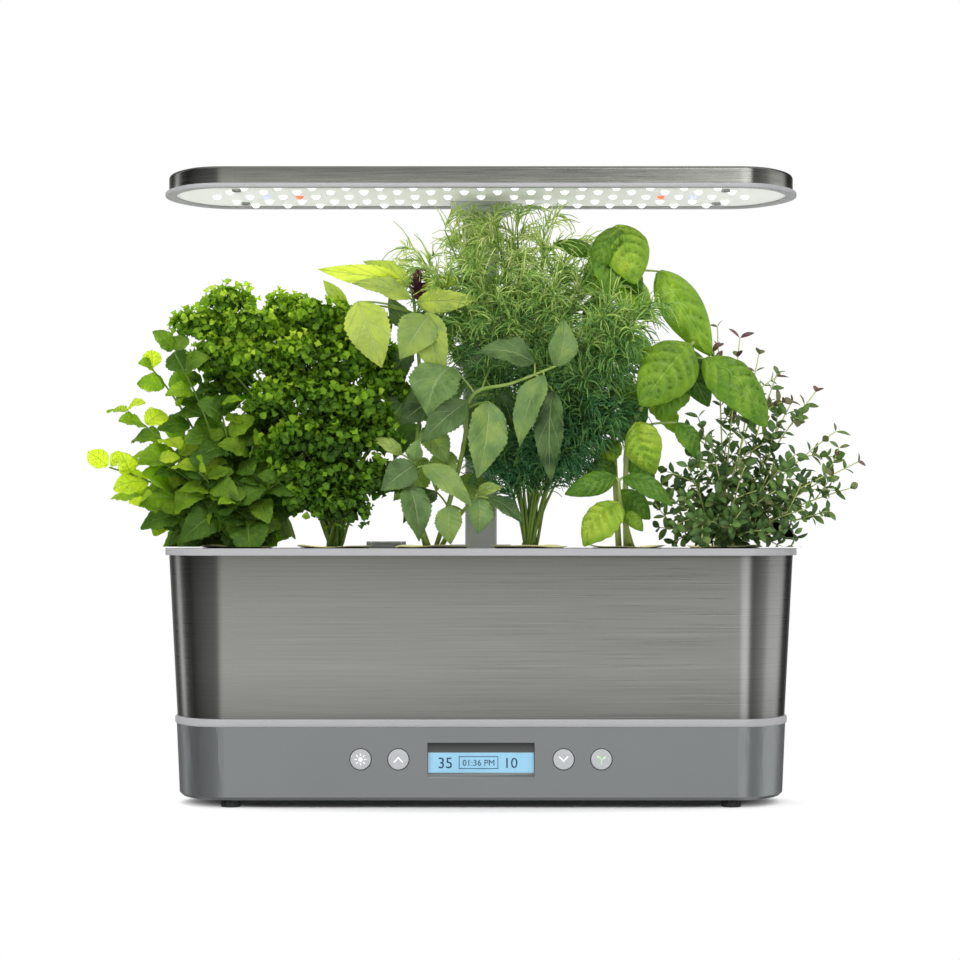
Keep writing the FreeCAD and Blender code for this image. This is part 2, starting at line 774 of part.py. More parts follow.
def lens(outline, top, bottom):
    """Thin closed form over an outline: triangles up to one point and down to another."""
    triangles = []
    for i, here in enumerate(outline):
        after = outline[(i + 1) % len(outline)]
        triangles.append((here, after, top))
        triangles.append((after, here, bottom))
    return triangle_solid(triangles)


def leaf(base, tip, width, facing=vec(0.1, -1.0, 0.35), arch=0.12):
    """One leaf from stalk to tip, widest near a third of its length, with its middle arched towards the light."""
    along = tip - base
    length = along.Length
    along.normalize()
    across = along.cross(facing)
    across.normalize()
    up = across.cross(along)
    lift = arch * length

    def at(share, side, rise):
        return base + along * (share * length) + across * (side * width) + up * rise

    outline = [
        base, at(0.22, 0.42, lift * 0.5), at(0.5, 0.46, lift * 0.7), at(0.8, 0.24, lift * 0.4),
        tip, at(0.8, -0.24, lift * 0.4), at(0.5, -0.46, lift * 0.7), at(0.22, -0.42, lift * 0.5),
    ]
    return lens(outline, at(0.45, 0, lift + 0.5), at(0.45, 0, lift - 0.5))


def stem(points, thick, thin):
    """A stalk through points: a square section that thins towards the tip."""
    rings = []
    for i, here in enumerate(points):
        before = points[max(i - 1, 0)]
        after = points[min(i + 1, len(points) - 1)]
        along = after - before
        along.normalize()
        across = along.cross(vec(0, 1, 0.01))
        across.normalize()
        up = across.cross(along)
        half = (thick + (thin - thick) * i / (len(points) - 1)) / 2
        rings.append([here + across * half, here + up * half, here - across * half, here - up * half])
    triangles = [(rings[0][0], rings[0][1], rings[0][2]), (rings[0][0], rings[0][2], rings[0][3])]
    last = rings[-1]
    triangles += [(last[0], last[2], last[1]), (last[0], last[3], last[2])]
    for low, high in zip(rings, rings[1:]):
        for k in range(4):
            n = (k + 1) % 4
            triangles.append((low[k], high[k], high[n]))
            triangles.append((low[k], high[n], low[n]))
    return triangle_solid(triangles)


def arching(base, tip, rise=0.55, steps=4):
    """Points of a stalk that leaves its pod upright and leans out to its tip."""
    bend = vec(base.x + 0.3 * (tip.x - base.x), base.y + 0.3 * (tip.y - base.y), base.z + rise * (tip.z - base.z) + 8)
    points = []
    for i in range(steps + 1):
        t = i / steps
        points.append(base * ((1 - t) ** 2) + bend * (2 * t * (1 - t)) + tip * (t * t))
    return points


def pod_base(pod, k, spread=5.0):
    """Foot of stalk k in its pod: the stalks stand on a spiral on top of the sponge."""
    angle = k * 2.4
    reach = spread * math.sqrt((k % 9) / 9.0)
    return vec(pod_x[pod] + reach * math.cos(angle), reach * math.sin(angle), sponge_top_z)


# Tips of the mint stalks
mint_tips = [
    (-247, -8, 222), (-234, -22, 258), (-220, 8, 288), (-203, -18, 298), (-186, 14, 280), (-172, -28, 262),
    (-150, -22, 236), (-140, 8, 254), (-212, -34, 226), (-236, 18, 200), (-184, -42, 218), (-160, -46, 198),
    (-132, -36, 212), (-200, 28, 240), (-222, -30, 196),
]
# Middles of the curly parsley heads
parsley_heads = [
    (-191, 10, 318), (-168, -5, 332), (-152, -20, 316), (-130, 5, 328), (-110, -12, 322), (-90, 0, 320),
    (-176, -15, 296), (-148, -28, 292), (-120, -30, 296), (-92, -25, 290), (-73, 5, 300), (-165, 15, 278),
    (-106, -38, 266), (-80, -34, 262), (-135, -36, 266), (-64, -8, 276), (-120, -44, 240), (-92, -44, 236),
    (-70, -28, 240), (-102, -40, 214), (-124, -30, 216), (-76, -34, 212), (-140, 12, 250), (-92, 18, 258),
]
parsley_head_radius = 15.0
# Thai basil leaves: stalk end, tip and width
thai_leaves = [
    ((-81, -32, 330), (-65, -34, 287), 30), ((-35, -26, 321), (-53, -34, 293), 27),
    ((-35, -22, 324), (-26, -30, 277), 23), ((-20, -30, 287), (-36, -40, 256), 40),
    ((-9, -26, 264), (-39, -34, 238), 22), ((5, -30, 264), (-2, -36, 214), 26),
    ((41, -34, 281), (24, -40, 235), 19), ((47, -32, 271), (45, -38, 211), 18),
    ((49, -30, 287), (55, -28, 318), 18), ((35, -28, 289), (-2, -36, 298), 22),
    ((-53, -8, 347), (-108, -14, 353), 15), ((-47, 2, 343), (-79, 8, 362), 14),
    ((-47, -14, 334), (-84, -26, 344), 17), ((-42, -10, 332), (-2, -20, 333), 16),
    ((-42, 0, 338), (-7, 6, 345), 13), ((-43, -40, 223), (-65, -48, 206), 21),
    ((-47, -42, 210), (-39, -48, 174), 21), ((-38, -44, 222), (-5, -50, 196), 17),
    ((-20, -46, 196), (-20, -50, 171), 19), ((-2, -40, 201), (-2, -46, 178), 20),
    ((5, -38, 201), (28, -46, 184), 14), ((-43, -38, 225), (-41, -40, 240), 12),
    ((-52, -34, 230), (-71, -38, 241), 10), ((-2, -30, 204), (14, -34, 209), 10),
    ((-90, 6, 330), (-106, 8, 348), 10), ((-18, -8, 300), (6, -16, 284), 20),
    ((-30, -12, 268), (-54, -20, 250), 22), ((-12, 4, 240), (10, 0, 222), 20),
    ((-40, 2, 250), (-60, 6, 228), 20), ((-20, -14, 232), (-30, -22, 206), 20),
    ((8, -8, 290), (28, -14, 304), 16), ((-24, 10, 310), (-6, 14, 324), 16),
]
thai_stalks = [
    [(-37, 0, 0), (-44, -18, 214), (-40, -14, 268), (-44, -6, 326), (-46, -6, 340)],
    [(-30, -3, 0), (-12, -14, 232), (-6, -20, 268), (20, -26, 276), (46, -30, 286)],
    [(-34, -5, 0), (-44, -30, 200), (-44, -38, 224)],
    [(-28, 2, 0), (-14, -30, 190), (-2, -36, 202)],
]
# Genovese basil leaves
basil_leaves = [
    ((90, -16, 382), (102, -30, 343), 32), ((74, -10, 370), (87, -26, 332), 20),
    ((118, -10, 352), (152, -18, 296), 28), ((137, -34, 302), (104, -44, 262), 38),
    ((147, -30, 293), (188, -38, 249), 32), ((134, -16, 300), (150, -20, 262), 22),
    ((136, -12, 276), (116, -20, 254), 20), ((129, -24, 251), (143, -30, 227), 16),
    ((102, -30, 251), (113, -36, 217), 26), ((88, -38, 215), (55, -46, 204), 16),
    ((93, -40, 215), (125, -48, 197), 16), ((90, -42, 198), (66, -50, 171), 28),
    ((94, -34, 192), (106, -38, 180), 11), ((75, -4, 365), (48, -2, 372), 12),
    ((96, 2, 362), (106, 6, 336), 16), ((84, 6, 340), (70, 10, 312), 18),
    ((112, 4, 270), (132, 8, 246), 20), ((92, 0, 240), (76, -2, 222), 18),
    ((98, 10, 310), (116, 14, 290), 18),
]
basil_stalks = [
    [(97, 0, 0), (96, -10, 214), (100, -16, 250), (126, -20, 288), (140, -28, 304)],
    [(92, 3, 0), (88, 0, 250), (86, -2, 320), (88, -8, 374)],
    [(101, -3, 0), (92, -30, 196), (90, -38, 214)],
]
# Tips of the dill fronds
dill_tips = [
    (-42, 2, 366), (-24, -12, 380), (-8, 8, 388), (8, -8, 392), (24, 10, 390), (42, -6, 382), (58, 8, 368),
    (70, -14, 352), (84, -30, 330), (98, -34, 318), (108, -36, 328), (-30, -20, 350), (0, -28, 352), (24, -32, 346),
    (48, -30, 340), (64, -36, 312), (44, -40, 288), (72, -26, 282), (88, -18, 262), (66, -30, 246), (52, -42, 232),
    (36, -20, 236), (10, -14, 226), (84, 4, 300), (12, 12, 330),
]
dill_side_length = 24.0
dill_sides = 6
# Tips of the thyme stalks
thyme_tips = [
    (158, 4, 316), (172, -8, 308), (186, 6, 298), (196, -14, 284), (182, -24, 268), (208, 8, 266), (222, -10, 272),
    (236, -4, 246), (252, 4, 226), (244, -16, 208), (226, -26, 216), (206, -34, 230), (230, 10, 190), (212, -40, 194),
    (192, -44, 206), (172, -46, 222), (150, -40, 236), (136, -30, 222), (124, -34, 200), (118, -20, 182),
    (140, -48, 188), (162, -52, 184), (184, -52, 180), (204, -46, 178), (146, 14, 256), (166, 20, 244),
    (190, 18, 226), (132, 8, 210), (210, 24, 204), (150, 26, 200),
]
thyme_leaf_length = 8.0
thyme_spread = 8.0
thyme_rise = 0.4


def mint_foliage():
    leaves = []
    for k, tip in enumerate(mint_tips):
        points = arching(pod_base(0, k), vec(*tip))
        for pair in range(1, 5):
            centre = points[pair]
            size = 25.0 - 2.5 * pair
            for side in (0, 1):
                angle = k * 2.4 + pair * math.pi / 2 + side * math.pi
                reach = vec(math.cos(angle), 0.8 * math.sin(angle), -0.15 + 0.12 * pair)
                start = centre + reach * 0.5
                leaves.append(leaf(start, start + reach * size, 0.62 * size, vec(0.1, -0.5, 1.0)))
    return leaves


def stalks(pod, tips, thick, thin, spread=5.0, rise=0.55):
    return [stem(arching(pod_base(pod, k, spread), vec(*tip), rise), thick, thin) for k, tip in enumerate(tips)]


def parsley_foliage():
    heads = []
    for k, (x, y, z) in enumerate(parsley_heads):
        outline = []
        for i in range(9):
            angle = i * 2 * math.pi / 9
            reach = parsley_head_radius * (1.0 + 0.16 * math.sin(3 * angle + k))
            outline.append(vec(x + reach * math.cos(angle), y + 0.75 * reach * math.sin(angle), z + 3 * math.sin(2 * angle + k)))
        heads.append(lens(outline, vec(x, y, z + 11), vec(x, y, z - 10)))
    return heads


def hand_leaves(rows):
    return [leaf(vec(*base), vec(*tip), width) for base, tip, width in rows]


def stalk_points(row):
    return [vec(row[0][0], row[0][1], sponge_top_z)] + [vec(*point) for point in row[1:]]


def nearest_on_stalks(stalk_rows, target):
    """The point of a plant's stalks that is nearest to target, counting a point above it as further off."""
    best = None
    for row in stalk_rows:
        points = stalk_points(row)
        for low, high in zip(points, points[1:]):
            for i in range(9):
                point = low + (high - low) * (i / 8)
                far = (target - point).Length + max(0.0, point.z - target.z + 4)
                if best is None or far < best[0]:
                    best = (far, point)
    return best[1]


def hand_stalks(stalk_rows, leaf_rows, thick, thin):
    """Main stalks, and a short leaf stalk from them to the base of each leaf."""
    made = [stem(stalk_points(row), thick, thin) for row in stalk_rows]
    for base, tip, width in leaf_rows:
        foot = vec(*base)
        root = nearest_on_stalks(stalk_rows, foot)
        if (foot - root).Length > 1.0:
            bend = (root + foot) * 0.5 + vec(0, 0, 0.12 * (foot - root).Length)
            made.append(stem([root, bend, foot], 1.6, 1.2))
    return made


def dill_foliage():
    """Feathery ends of the dill: threads that fan out along the last part of each frond."""
    threads = []
    for k, tip in enumerate(dill_tips):
        points = arching(pod_base(3, k), vec(*tip))
        root = points[-2]
        end = points[-1]
        for i in range(dill_sides):
            share = (i + 1) / dill_sides
            start = root + (end - root) * (0.25 + 0.7 * share)
            angle = k * 2.4 + i * 2.1
            reach = vec(math.cos(angle), 0.6 * math.sin(angle), 0.35 * math.sin(angle * 1.7) - 0.1)
            finish = start + reach * (dill_side_length * (1.1 - 0.4 * share))
            finish.z = min(finish.z, 396.0)
            middle = (start + finish) * 0.5 + vec(0, 0, 1.5)
            outline = [middle + vec(0, -0.5, 0), middle + vec(0, 0.5, 0.2), middle + vec(0, 0, 1.0)]
            threads.append(lens(outline, start, finish))
    return threads


def thyme_foliage():
    leaves = []
    for k, tip in enumerate(thyme_tips):
        points = arching(pod_base(5, k, thyme_spread), vec(*tip), thyme_rise)
        for pair in (2, 3, 4):
            for side in (0, 1):
                angle = k * 2.4 + pair * 1.3 + side * math.pi
                reach = vec(math.cos(angle), 0.8 * math.sin(angle), 0.3)
                start = points[pair] + reach * 0.2
                size = thyme_leaf_length
                outline = [start, start + reach * (size * 0.5) + vec(0, 0, 2), start + reach * size,
                           start + reach * (size * 0.5) - vec(0, 0, 2)]
                middle = start + reach * (size * 0.5)
                leaves.append(lens(outline, middle + vec(0, -0.6, 0), middle + vec(0, 0.4, 0)))
    return leaves


save("base_housing", base_housing())
save("bottom_cover", bottom_cover())
save("base_screws", base_screws())
save("rubber_feet", rubber_feet())
save("trim_band", trim_band())
save("tank_bowl", tank_bowl())
save("steel_wrap", steel_wrap())
save("grow_deck", grow_deck())
save("fill_lid", fill_lid())
save("fill_lid_pin", fill_lid_pin())
save("control_board", control_board())
save("board_screws", board_screws())
save("lcd_module", lcd_module())
save("display_window", display_window())
for name, x in zip(button_names, button_x):
    save(name, button(x))
save("tact_switches", tact_switches())
save("power_jack", power_jack())
save("grow_baskets", grow_baskets())
save("grow_sponges", grow_sponges())
save("pod_labels", pod_labels())
save("pump_body", pump_body())
save("pump_cover", pump_cover())
save("pump_shaft", pump_shaft())
save("pump_impeller", pump_impeller())
save("outlet_tube", outlet_tube())
save("float_guide", float_guide())
save("water_float", water_float())
save("mast_socket", mast_socket())
save("mast_post", mast_post())
save("mast_cap", mast_cap())
save("mast_sleeve", mast_sleeve())
save("neck_bracket", neck_bracket())
save("lamp_cable", lamp_cable())
save("lamp_bezel", lamp_bezel())
save("led_board", led_board())
save("heat_spreader", heat_spreader())
save("lamp_frame", lamp_frame())
save("lamp_cover", lamp_cover())
save("lamp_screws", lamp_screws())
save("leds_white", [led_dome(x, y) for x, y in led_places()])
save("leds_red", [led_dome(x, colour_led_y) for x in red_led_x])
save("leds_blue", [led_dome(x, colour_led_y) for x in blue_led_x])
save("mint_stems", stalks(0, mint_tips, 2.4, 1.2))
save("mint_leaves", mint_foliage())
save("parsley_stems", stalks(1, parsley_heads, 2.2, 1.4))
save("parsley_heads", parsley_foliage())
save("thai_basil_stems", hand_stalks(thai_stalks, thai_leaves, 3.6, 1.8))
save("thai_basil_leaves", hand_leaves(thai_leaves))
save("dill_stems", stalks(3, dill_tips, 2.2, 0.8))
save("dill_fronds", dill_foliage())
save("basil_stems", hand_stalks(basil_stalks, basil_leaves, 4.4, 2.0))
save("basil_leaves", hand_leaves(basil_leaves))
save("thyme_stems", stalks(5, thyme_tips, 1.2, 0.7, thyme_spread, thyme_rise))
save("thyme_leaves", thyme_foliage())
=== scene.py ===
import math

import bmesh
import bpy
import numpy as np
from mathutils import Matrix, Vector


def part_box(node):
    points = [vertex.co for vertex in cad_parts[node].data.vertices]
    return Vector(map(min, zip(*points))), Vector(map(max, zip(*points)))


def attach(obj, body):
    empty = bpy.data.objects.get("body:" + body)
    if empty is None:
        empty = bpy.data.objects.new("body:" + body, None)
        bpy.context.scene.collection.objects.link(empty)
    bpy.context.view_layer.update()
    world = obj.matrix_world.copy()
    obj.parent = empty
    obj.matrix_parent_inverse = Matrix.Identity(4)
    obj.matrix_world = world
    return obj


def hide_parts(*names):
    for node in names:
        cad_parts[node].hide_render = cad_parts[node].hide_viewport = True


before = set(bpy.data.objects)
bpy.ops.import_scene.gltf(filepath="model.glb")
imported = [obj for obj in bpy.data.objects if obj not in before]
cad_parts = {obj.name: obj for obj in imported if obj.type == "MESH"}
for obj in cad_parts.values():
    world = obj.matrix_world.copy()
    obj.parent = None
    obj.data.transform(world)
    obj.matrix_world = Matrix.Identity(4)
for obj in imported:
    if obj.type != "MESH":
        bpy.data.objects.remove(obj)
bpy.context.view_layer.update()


# The camera stands level in front of the garden, a little above the height of the pods, with a long lens.
# Its small shifts put the worktop and the lamp at their heights in a square picture.
def held(name, data):
    """A new object that holds the data, in the scene."""
    made = bpy.data.objects.new(name, data)
    bpy.context.scene.collection.objects.link(made)
    return made


camera_distance = 1.945
camera_height = 0.1771
picture_size = 960
sensor_width = 36.0
focal_pixels = 2916
horizon_below_middle = 55
middle_left_of_garden = 1
camera = held("camera", bpy.data.cameras.new("camera"))
camera.data.sensor_width = sensor_width
camera.data.lens = sensor_width * focal_pixels / picture_size
camera.data.shift_x = -middle_left_of_garden / picture_size
camera.data.shift_y = horizon_below_middle / picture_size
camera.data.clip_end = 30
camera.location = (0, -camera_distance, camera_height)
camera.rotation_euler = (math.pi / 2, 0, 0)
bpy.context.scene.camera = camera
bpy.context.scene.view_settings.view_transform = "Standard"


# The studio: soft white lamps, and a room that is white behind and above but dark at both sides, as a
# photographer hangs black cloth beside polished metal to draw its edges. Only reflections see the dark sides.
def colour(text):
    """Linear red, green, blue and alpha of an sRGB hex value."""
    parts = [int(text[i:i + 2], 16) / 255 for i in (1, 3, 5)]
    linear = [c / 12.92 if c <= 0.04045 else ((c + 0.055) / 1.055) ** 2.4 for c in parts]
    return (*linear, 1.0)


def connect(tree, node, inputs):
    """Links each named input of a node to a socket, or sets it to a value."""
    for key, value in inputs.items():
        if isinstance(value, bpy.types.NodeSocket):
            tree.links.new(value, node.inputs[key])
        else:
            node.inputs[key].default_value = value


def add(tree, kind, inputs=None, stops=None, **settings):
    """Adds one node, whose kind is named without ShaderNode: settings go on the node, inputs on its sockets
    as values or links, and stops on its ramp."""
    made = tree.nodes.new("ShaderNode" + kind)
    for key, value in settings.items():
        setattr(made, key, value)
    connect(tree, made, inputs or {})
    if stops:
        elements = made.color_ramp.elements
        while len(elements) < len(stops):
            elements.new(1.0)
        for element, (place, text) in zip(elements, stops):
            element.position = place
            element.color = colour(text)
    return made


world = bpy.data.worlds.new("studio")
bpy.context.scene.world = world
world.use_nodes = True
room = world.node_tree
room.nodes.clear()
parts = add(room, "SeparateXYZ", {"Vector": add(room, "TexCoord").outputs["Generated"]}).outputs
ahead = add(room, "Math", {0: parts["Y"], 1: -1.0}, operation="MULTIPLY").outputs[0]
turn = add(room, "Math", {0: parts["X"], 1: ahead}, operation="ARCTAN2").outputs[0]
share = add(room, "MapRange", {"Value": turn, "From Min": -math.pi, "From Max": math.pi}).outputs["Result"]
cloth = add(room, "ValToRGB", {"Fac": share}, stops=[
    (0.0, "#b8b8b6"), (0.05, "#8c8c8a"), (0.08, "#3c3c3c"), (0.114, "#565656"), (0.122, "#ffffff"),
    (0.139, "#ffffff"), (0.147, "#404040"), (0.194, "#363636"), (0.236, "#585858"), (0.306, "#6c6c6c"),
    (0.389, "#7c7c7c"), (0.439, "#848484"), (0.465, "#e6e6e3"), (0.49, "#ececea"), (0.507, "#c4c4c1"),
    (0.522, "#828280"), (0.548, "#ffffff"), (0.589, "#ffffff"), (0.606, "#747474"), (0.633, "#747474"),
    (0.736, "#b0b0b0"), (0.778, "#e4e4e4"), (0.861, "#f0f0f0"), (0.88, "#262626"), (0.93, "#3c3c3c"),
    (0.96, "#8c8c8a"), (1.0, "#b8b8b6")])
above = add(room, "MapRange", {"Value": parts["Z"], "From Min": 0.6, "From Max": 0.95}).outputs["Result"]
seen = add(room, "Mix", {0: above, 6: cloth.outputs["Color"], 7: colour("#f2f2f0")},
           data_type="RGBA").outputs[2]
rays = add(room, "LightPath").outputs
plain, white, mirrored = (
    add(room, "Background", {"Color": tint, "Strength": strength}).outputs[0]
    for tint, strength in ((colour("#ffffff"), 0.9), (colour("#ffffff"), 1.0), (seen, 0.95)))
first = add(room, "MixShader", {0: rays["Is Glossy Ray"], 1: plain, 2: mirrored}).outputs[0]
last = add(room, "MixShader", {0: rays["Is Camera Ray"], 1: first, 2: white}).outputs[0]
add(room, "OutputWorld", {"Surface": last})

aim = Vector((0.0, 0.0, 0.22))
for name, place, size, power, mirrored_too in (
        ("key_lamp", (0.75, -1.6, 1.4), 1.2, 15.0, True),
        ("fill_lamp", (-1.2, -1.4, 1.1), 1.2, 15.0, False),
        ("back_lamp", (-0.6, 1.3, 1.0), 1.0, 24.0, False),
        ("back_fill_lamp", (0.9, 1.3, 0.8), 1.0, 12.0, False)):
    lamp = held(name, bpy.data.lights.new(name, "AREA"))
    lamp.data.size = size
    lamp.data.energy = power
    lamp.visible_glossy = mirrored_too
    lamp.location = place
    lamp.rotation_euler = (aim - Vector(place)).to_track_quat("-Z", "Y").to_euler()


# The floor: one wide pale sheet. It takes the garden's shadow close by, and goes evenly white further out,
# so that it meets the white room with no edge.
def new_material(name):
    """A material with its shader ready: returns the material, its node tree and the shader."""
    made = bpy.data.materials.new(name)
    made.use_nodes = True
    return made, made.node_tree, made.node_tree.nodes["Principled BSDF"]


def make_piece(name, points, faces, material, body=None, uv=None, tone=None, smooth=True,
               outward=False, replaced=None):
    """A mesh piece of points and faces in one material; it may ride on a body and replace a CAD node."""
    mesh = bpy.data.meshes.new(name)
    mesh.from_pydata(np.asarray(points, float), [], faces)
    if outward:
        shell = bmesh.new()
        shell.from_mesh(mesh)
        bmesh.ops.recalc_face_normals(shell, faces=shell.faces)
        shell.to_mesh(mesh)
        shell.free()
    if uv is not None:
        corner = np.zeros(len(mesh.loops), np.int64)
        mesh.loops.foreach_get("vertex_index", corner)
        mesh.uv_layers.new(name="along").data.foreach_set("uv", np.asarray(uv, np.float32)[corner].ravel())
    if tone is not None:
        mesh.attributes.new("tone", "FLOAT", "POINT").data.foreach_set("value", np.asarray(tone, np.float32))
    if smooth:
        mesh.shade_smooth()
    mesh.materials.append(material)
    made = held(name, mesh)
    if body:
        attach(made, body)
    if replaced:
        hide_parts(replaced)
    return made


floor_half = 12.0
floor_paint, tree, shader = new_material("matt_white_floor")
connect(tree, shader, {"Base Color": colour("#eeeeee"), "Roughness": 0.9, "Specular IOR Level": 0.1})
place = add(tree, "TexCoord").outputs["Object"]
squeeze = add(tree, "Mapping", {"Vector": place, "Scale": (5.0, 13.0, 0.0)}).outputs["Vector"]
far = add(tree, "VectorMath", {0: squeeze}, operation="LENGTH").outputs["Value"]
fade = add(tree, "MapRange", {"Value": far, "From Min": 0.85, "From Max": 1.3},
           interpolation_type="SMOOTHSTEP").outputs["Result"]
direct = add(tree, "Math", {0: add(tree, "LightPath").outputs["Is Camera Ray"], 1: fade},
             operation="MULTIPLY").outputs[0]
bright = add(tree, "Emission", {"Color": colour("#ffffff"), "Strength": 1.0}).outputs[0]
both = add(tree, "MixShader", {0: direct, 1: shader.outputs[0], 2: bright}).outputs[0]
tree.links.new(both, tree.nodes["Material Output"].inputs["Surface"])
corners = [(x * floor_half, y * floor_half, 0) for x, y in ((-1, -1), (1, -1), (1, 1), (-1, 1))]
floor = make_piece("floor", corners, [(0, 1, 2, 3)], floor_paint, smooth=False)
floor.visible_glossy = False


# The control base: injection-moulded ABS with a satin metallic grey paint. The paint lies evenly, with a very
# fine flake, and is a little rougher where the mould was spark-eroded.
def finished(node, material, body="root", sharp=32):
    """A copy of a CAD node, which it replaces: loose triangles merged and curved faces shaded smooth."""
    shell = bmesh.new()
    shell.from_mesh(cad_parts[node].data)
    bmesh.ops.remove_doubles(shell, verts=shell.verts, dist=1e-6)
    mesh = bpy.data.meshes.new(node + "_finished")
    shell.to_mesh(mesh)
    shell.free()
    mesh.shade_smooth()
    mesh.set_sharp_from_angle(angle=math.radians(sharp))
    mesh.materials.clear()
    mesh.materials.append(material)
    made = held(node + "_finished", mesh)
    even = made.modifiers.new("flat_faces_stay_flat", "WEIGHTED_NORMAL")
    even.keep_sharp = True
    even.weight = 100
    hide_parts(node)
    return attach(made, body)


def moulded(name, tint, roughness, grain_mm=0.25, depth=0.12, metallic=0.0, coat=0.0):
    """Moulded plastic: a fine even grain in the surface and a faint drift of colour over it."""
    made, tree, shader = new_material(name)
    place = add(tree, "TexCoord").outputs["Object"]
    grain = add(tree, "TexNoise", {"Vector": place, "Scale": 1000 / grain_mm / 2, "Detail": 2.0})
    drift = add(tree, "TexNoise", {"Vector": place, "Scale": 14.0, "Detail": 3.0})
    tone = add(tree, "MapRange", {"Value": drift.outputs["Fac"], "To Min": 0.95, "To Max": 1.05})
    paint = add(tree, "VectorMath", {0: colour(tint)[:3], "Scale": tone.outputs["Result"]}, operation="SCALE")
    bump = add(tree, "Bump", {"Height": grain.outputs["Fac"], "Strength": depth, "Distance": 0.0002})
    connect(tree, shader, {"Base Color": paint.outputs["Vector"], "Normal": bump.outputs["Normal"],
                           "Roughness": roughness, "Metallic": metallic, "Coat Weight": coat})
    return made


base_paint = moulded("satin_metallic_grey_paint", "#999d9e", 0.34, 0.3, 0.04, metallic=0.85, coat=0.1)
finished("base_housing", base_paint, sharp=14)

# Painted shade: the upper part of the display's recess, where its top ledge casts a shadow, is darkened in
# the paint colour. The recess is the box within these distances of its middle, in metres.
recess_floor_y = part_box("display_window")[0][1]
recess_middle_z, recess_top_z = 0.030, 0.0426
tree = base_paint.node_tree
sprayed = tree.nodes["Principled BSDF"].inputs["Base Color"]
place = add(tree, "SeparateXYZ", {"Vector": add(tree, "TexCoord").outputs["Object"]}).outputs
# Painted shade: a factor on the paint colour, 0.72 at the recess's middle height, falling to 0.2 at its top.
thin = add(tree, "MapRange", {"Value": place["Z"], "From Min": recess_middle_z, "From Max": recess_top_z,
                              "To Min": 0.72, "To Max": 0.2}).outputs["Result"]
inside = 1.0
recess_box = (("X", 0.0, 0.0347), ("Y", recess_floor_y, 0.0015), ("Z", recess_middle_z, 0.0126))
for axis, middle, reach in recess_box:
    near = add(tree, "Math", {0: place[axis], 1: middle, 2: reach}, operation="COMPARE").outputs[0]
    inside = add(tree, "Math", {0: inside, 1: near}, operation="MULTIPLY").outputs[0]
# Inside the recess the paint colour takes this painted shade; outside it stays as it is.
cover = add(tree, "Mix", {"Factor": inside, 2: 1.0, 3: thin}).outputs[0]
painted_recess_shade = add(tree, "VectorMath", {0: sprayed.links[0].from_socket, "Scale": cover}, operation="SCALE")
tree.links.new(painted_recess_shade.outputs["Vector"], sprayed)
dark_abs = moulded("black_moulded_abs", "#26272a", 0.55)
finished("bottom_cover", dark_abs)
rubber = moulded("matt_black_rubber", "#2a2a2b", 0.85, 0.4, 0.3)
finished("rubber_feet", rubber)


# Small steel screws and pins: zinc plate over cold-headed wire. The plating is bright, and a little cloudy
# from its bath.
def clouded(name, scale, stops, roughness, metallic=0.0, glow=0.0):
    """A smooth finish whose colour drifts in soft clouds; glow is how strongly it shines by itself."""
    made, tree, shader = new_material(name)
    cloud = add(tree, "TexNoise", {"Vector": add(tree, "TexCoord").outputs["Object"], "Scale": scale})
    tint = add(tree, "ValToRGB", {"Fac": cloud.outputs["Fac"]}, stops=stops).outputs["Color"]
    connect(tree, shader, {"Base Color": tint, "Roughness": roughness, "Metallic": metallic})
    if glow:
        connect(tree, shader, {"Emission Color": tint, "Emission Strength": glow})
    return made


zinc = clouded("zinc_plated_steel", 900.0, [(0.3, "#a9abac"), (0.7, "#c9cbcb")], 0.3, metallic=1.0)
for node, body in (("base_screws", "root"), ("board_screws", "root"), ("fill_lid_pin", "root"),
                   ("pump_shaft", "root"), ("lamp_screws", "lamp")):
    finished(node, zinc, body)


# The trim band between base and tank, and every other light grey part: plain moulded ABS. The band is a ring
# with softly rounded edges that follows the plan of the tank.
plan_half_width = 210.0
plan_half_depth = 65.0
plan_corner_radius = 32.0
plan_corner_turn = math.radians(52.0)
straight_points = 24
straight_share = 0.96


def plan_outline(steps=10):
    """The garden's plan, anticlockwise from above: points, outward normals and the length run so far, in mm.

    Straight front and back, a small arc at each corner and one wide arc at each end; an inset moves every
    point along its normal, because all arcs are concentric."""
    straight = plan_half_depth - plan_corner_radius
    reach = straight / math.cos(plan_corner_turn)
    end_x = plan_half_width - reach - plan_corner_radius
    corner_x = end_x + reach * math.sin(plan_corner_turn)
    small = np.linspace(0, plan_corner_turn, steps)
    wide = np.linspace(plan_corner_turn, math.pi - plan_corner_turn, 2 * steps)[1:-1]
    turns = np.concatenate([small, wide, math.pi - small[::-1]])
    on_end = (turns > plan_corner_turn + 1e-9) & (turns < math.pi - plan_corner_turn - 1e-9)
    normal = np.stack([np.sin(turns), -np.cos(turns)], 1)
    centre_x = np.where(on_end, end_x, corner_x)
    centre_y = np.where(on_end, 0.0, -np.sign(np.cos(turns)) * straight)
    radius = np.where(on_end, reach + plan_corner_radius, plan_corner_radius)
    right = np.stack([centre_x, centre_y], 1) + normal * radius[:, None]
    flat = np.linspace(-straight_share, straight_share, straight_points)[:, None]
    front = np.concatenate([flat * corner_x, np.full_like(flat, -plan_half_depth)], 1)
    ahead = np.tile([0.0, -1.0], (straight_points, 1))
    points = np.concatenate([front, right, -front, -right])
    run = np.concatenate([[0.0], np.cumsum(np.linalg.norm(np.diff(points, axis=0), axis=1))])
    return points, np.concatenate([ahead, normal, -ahead, -normal]), run


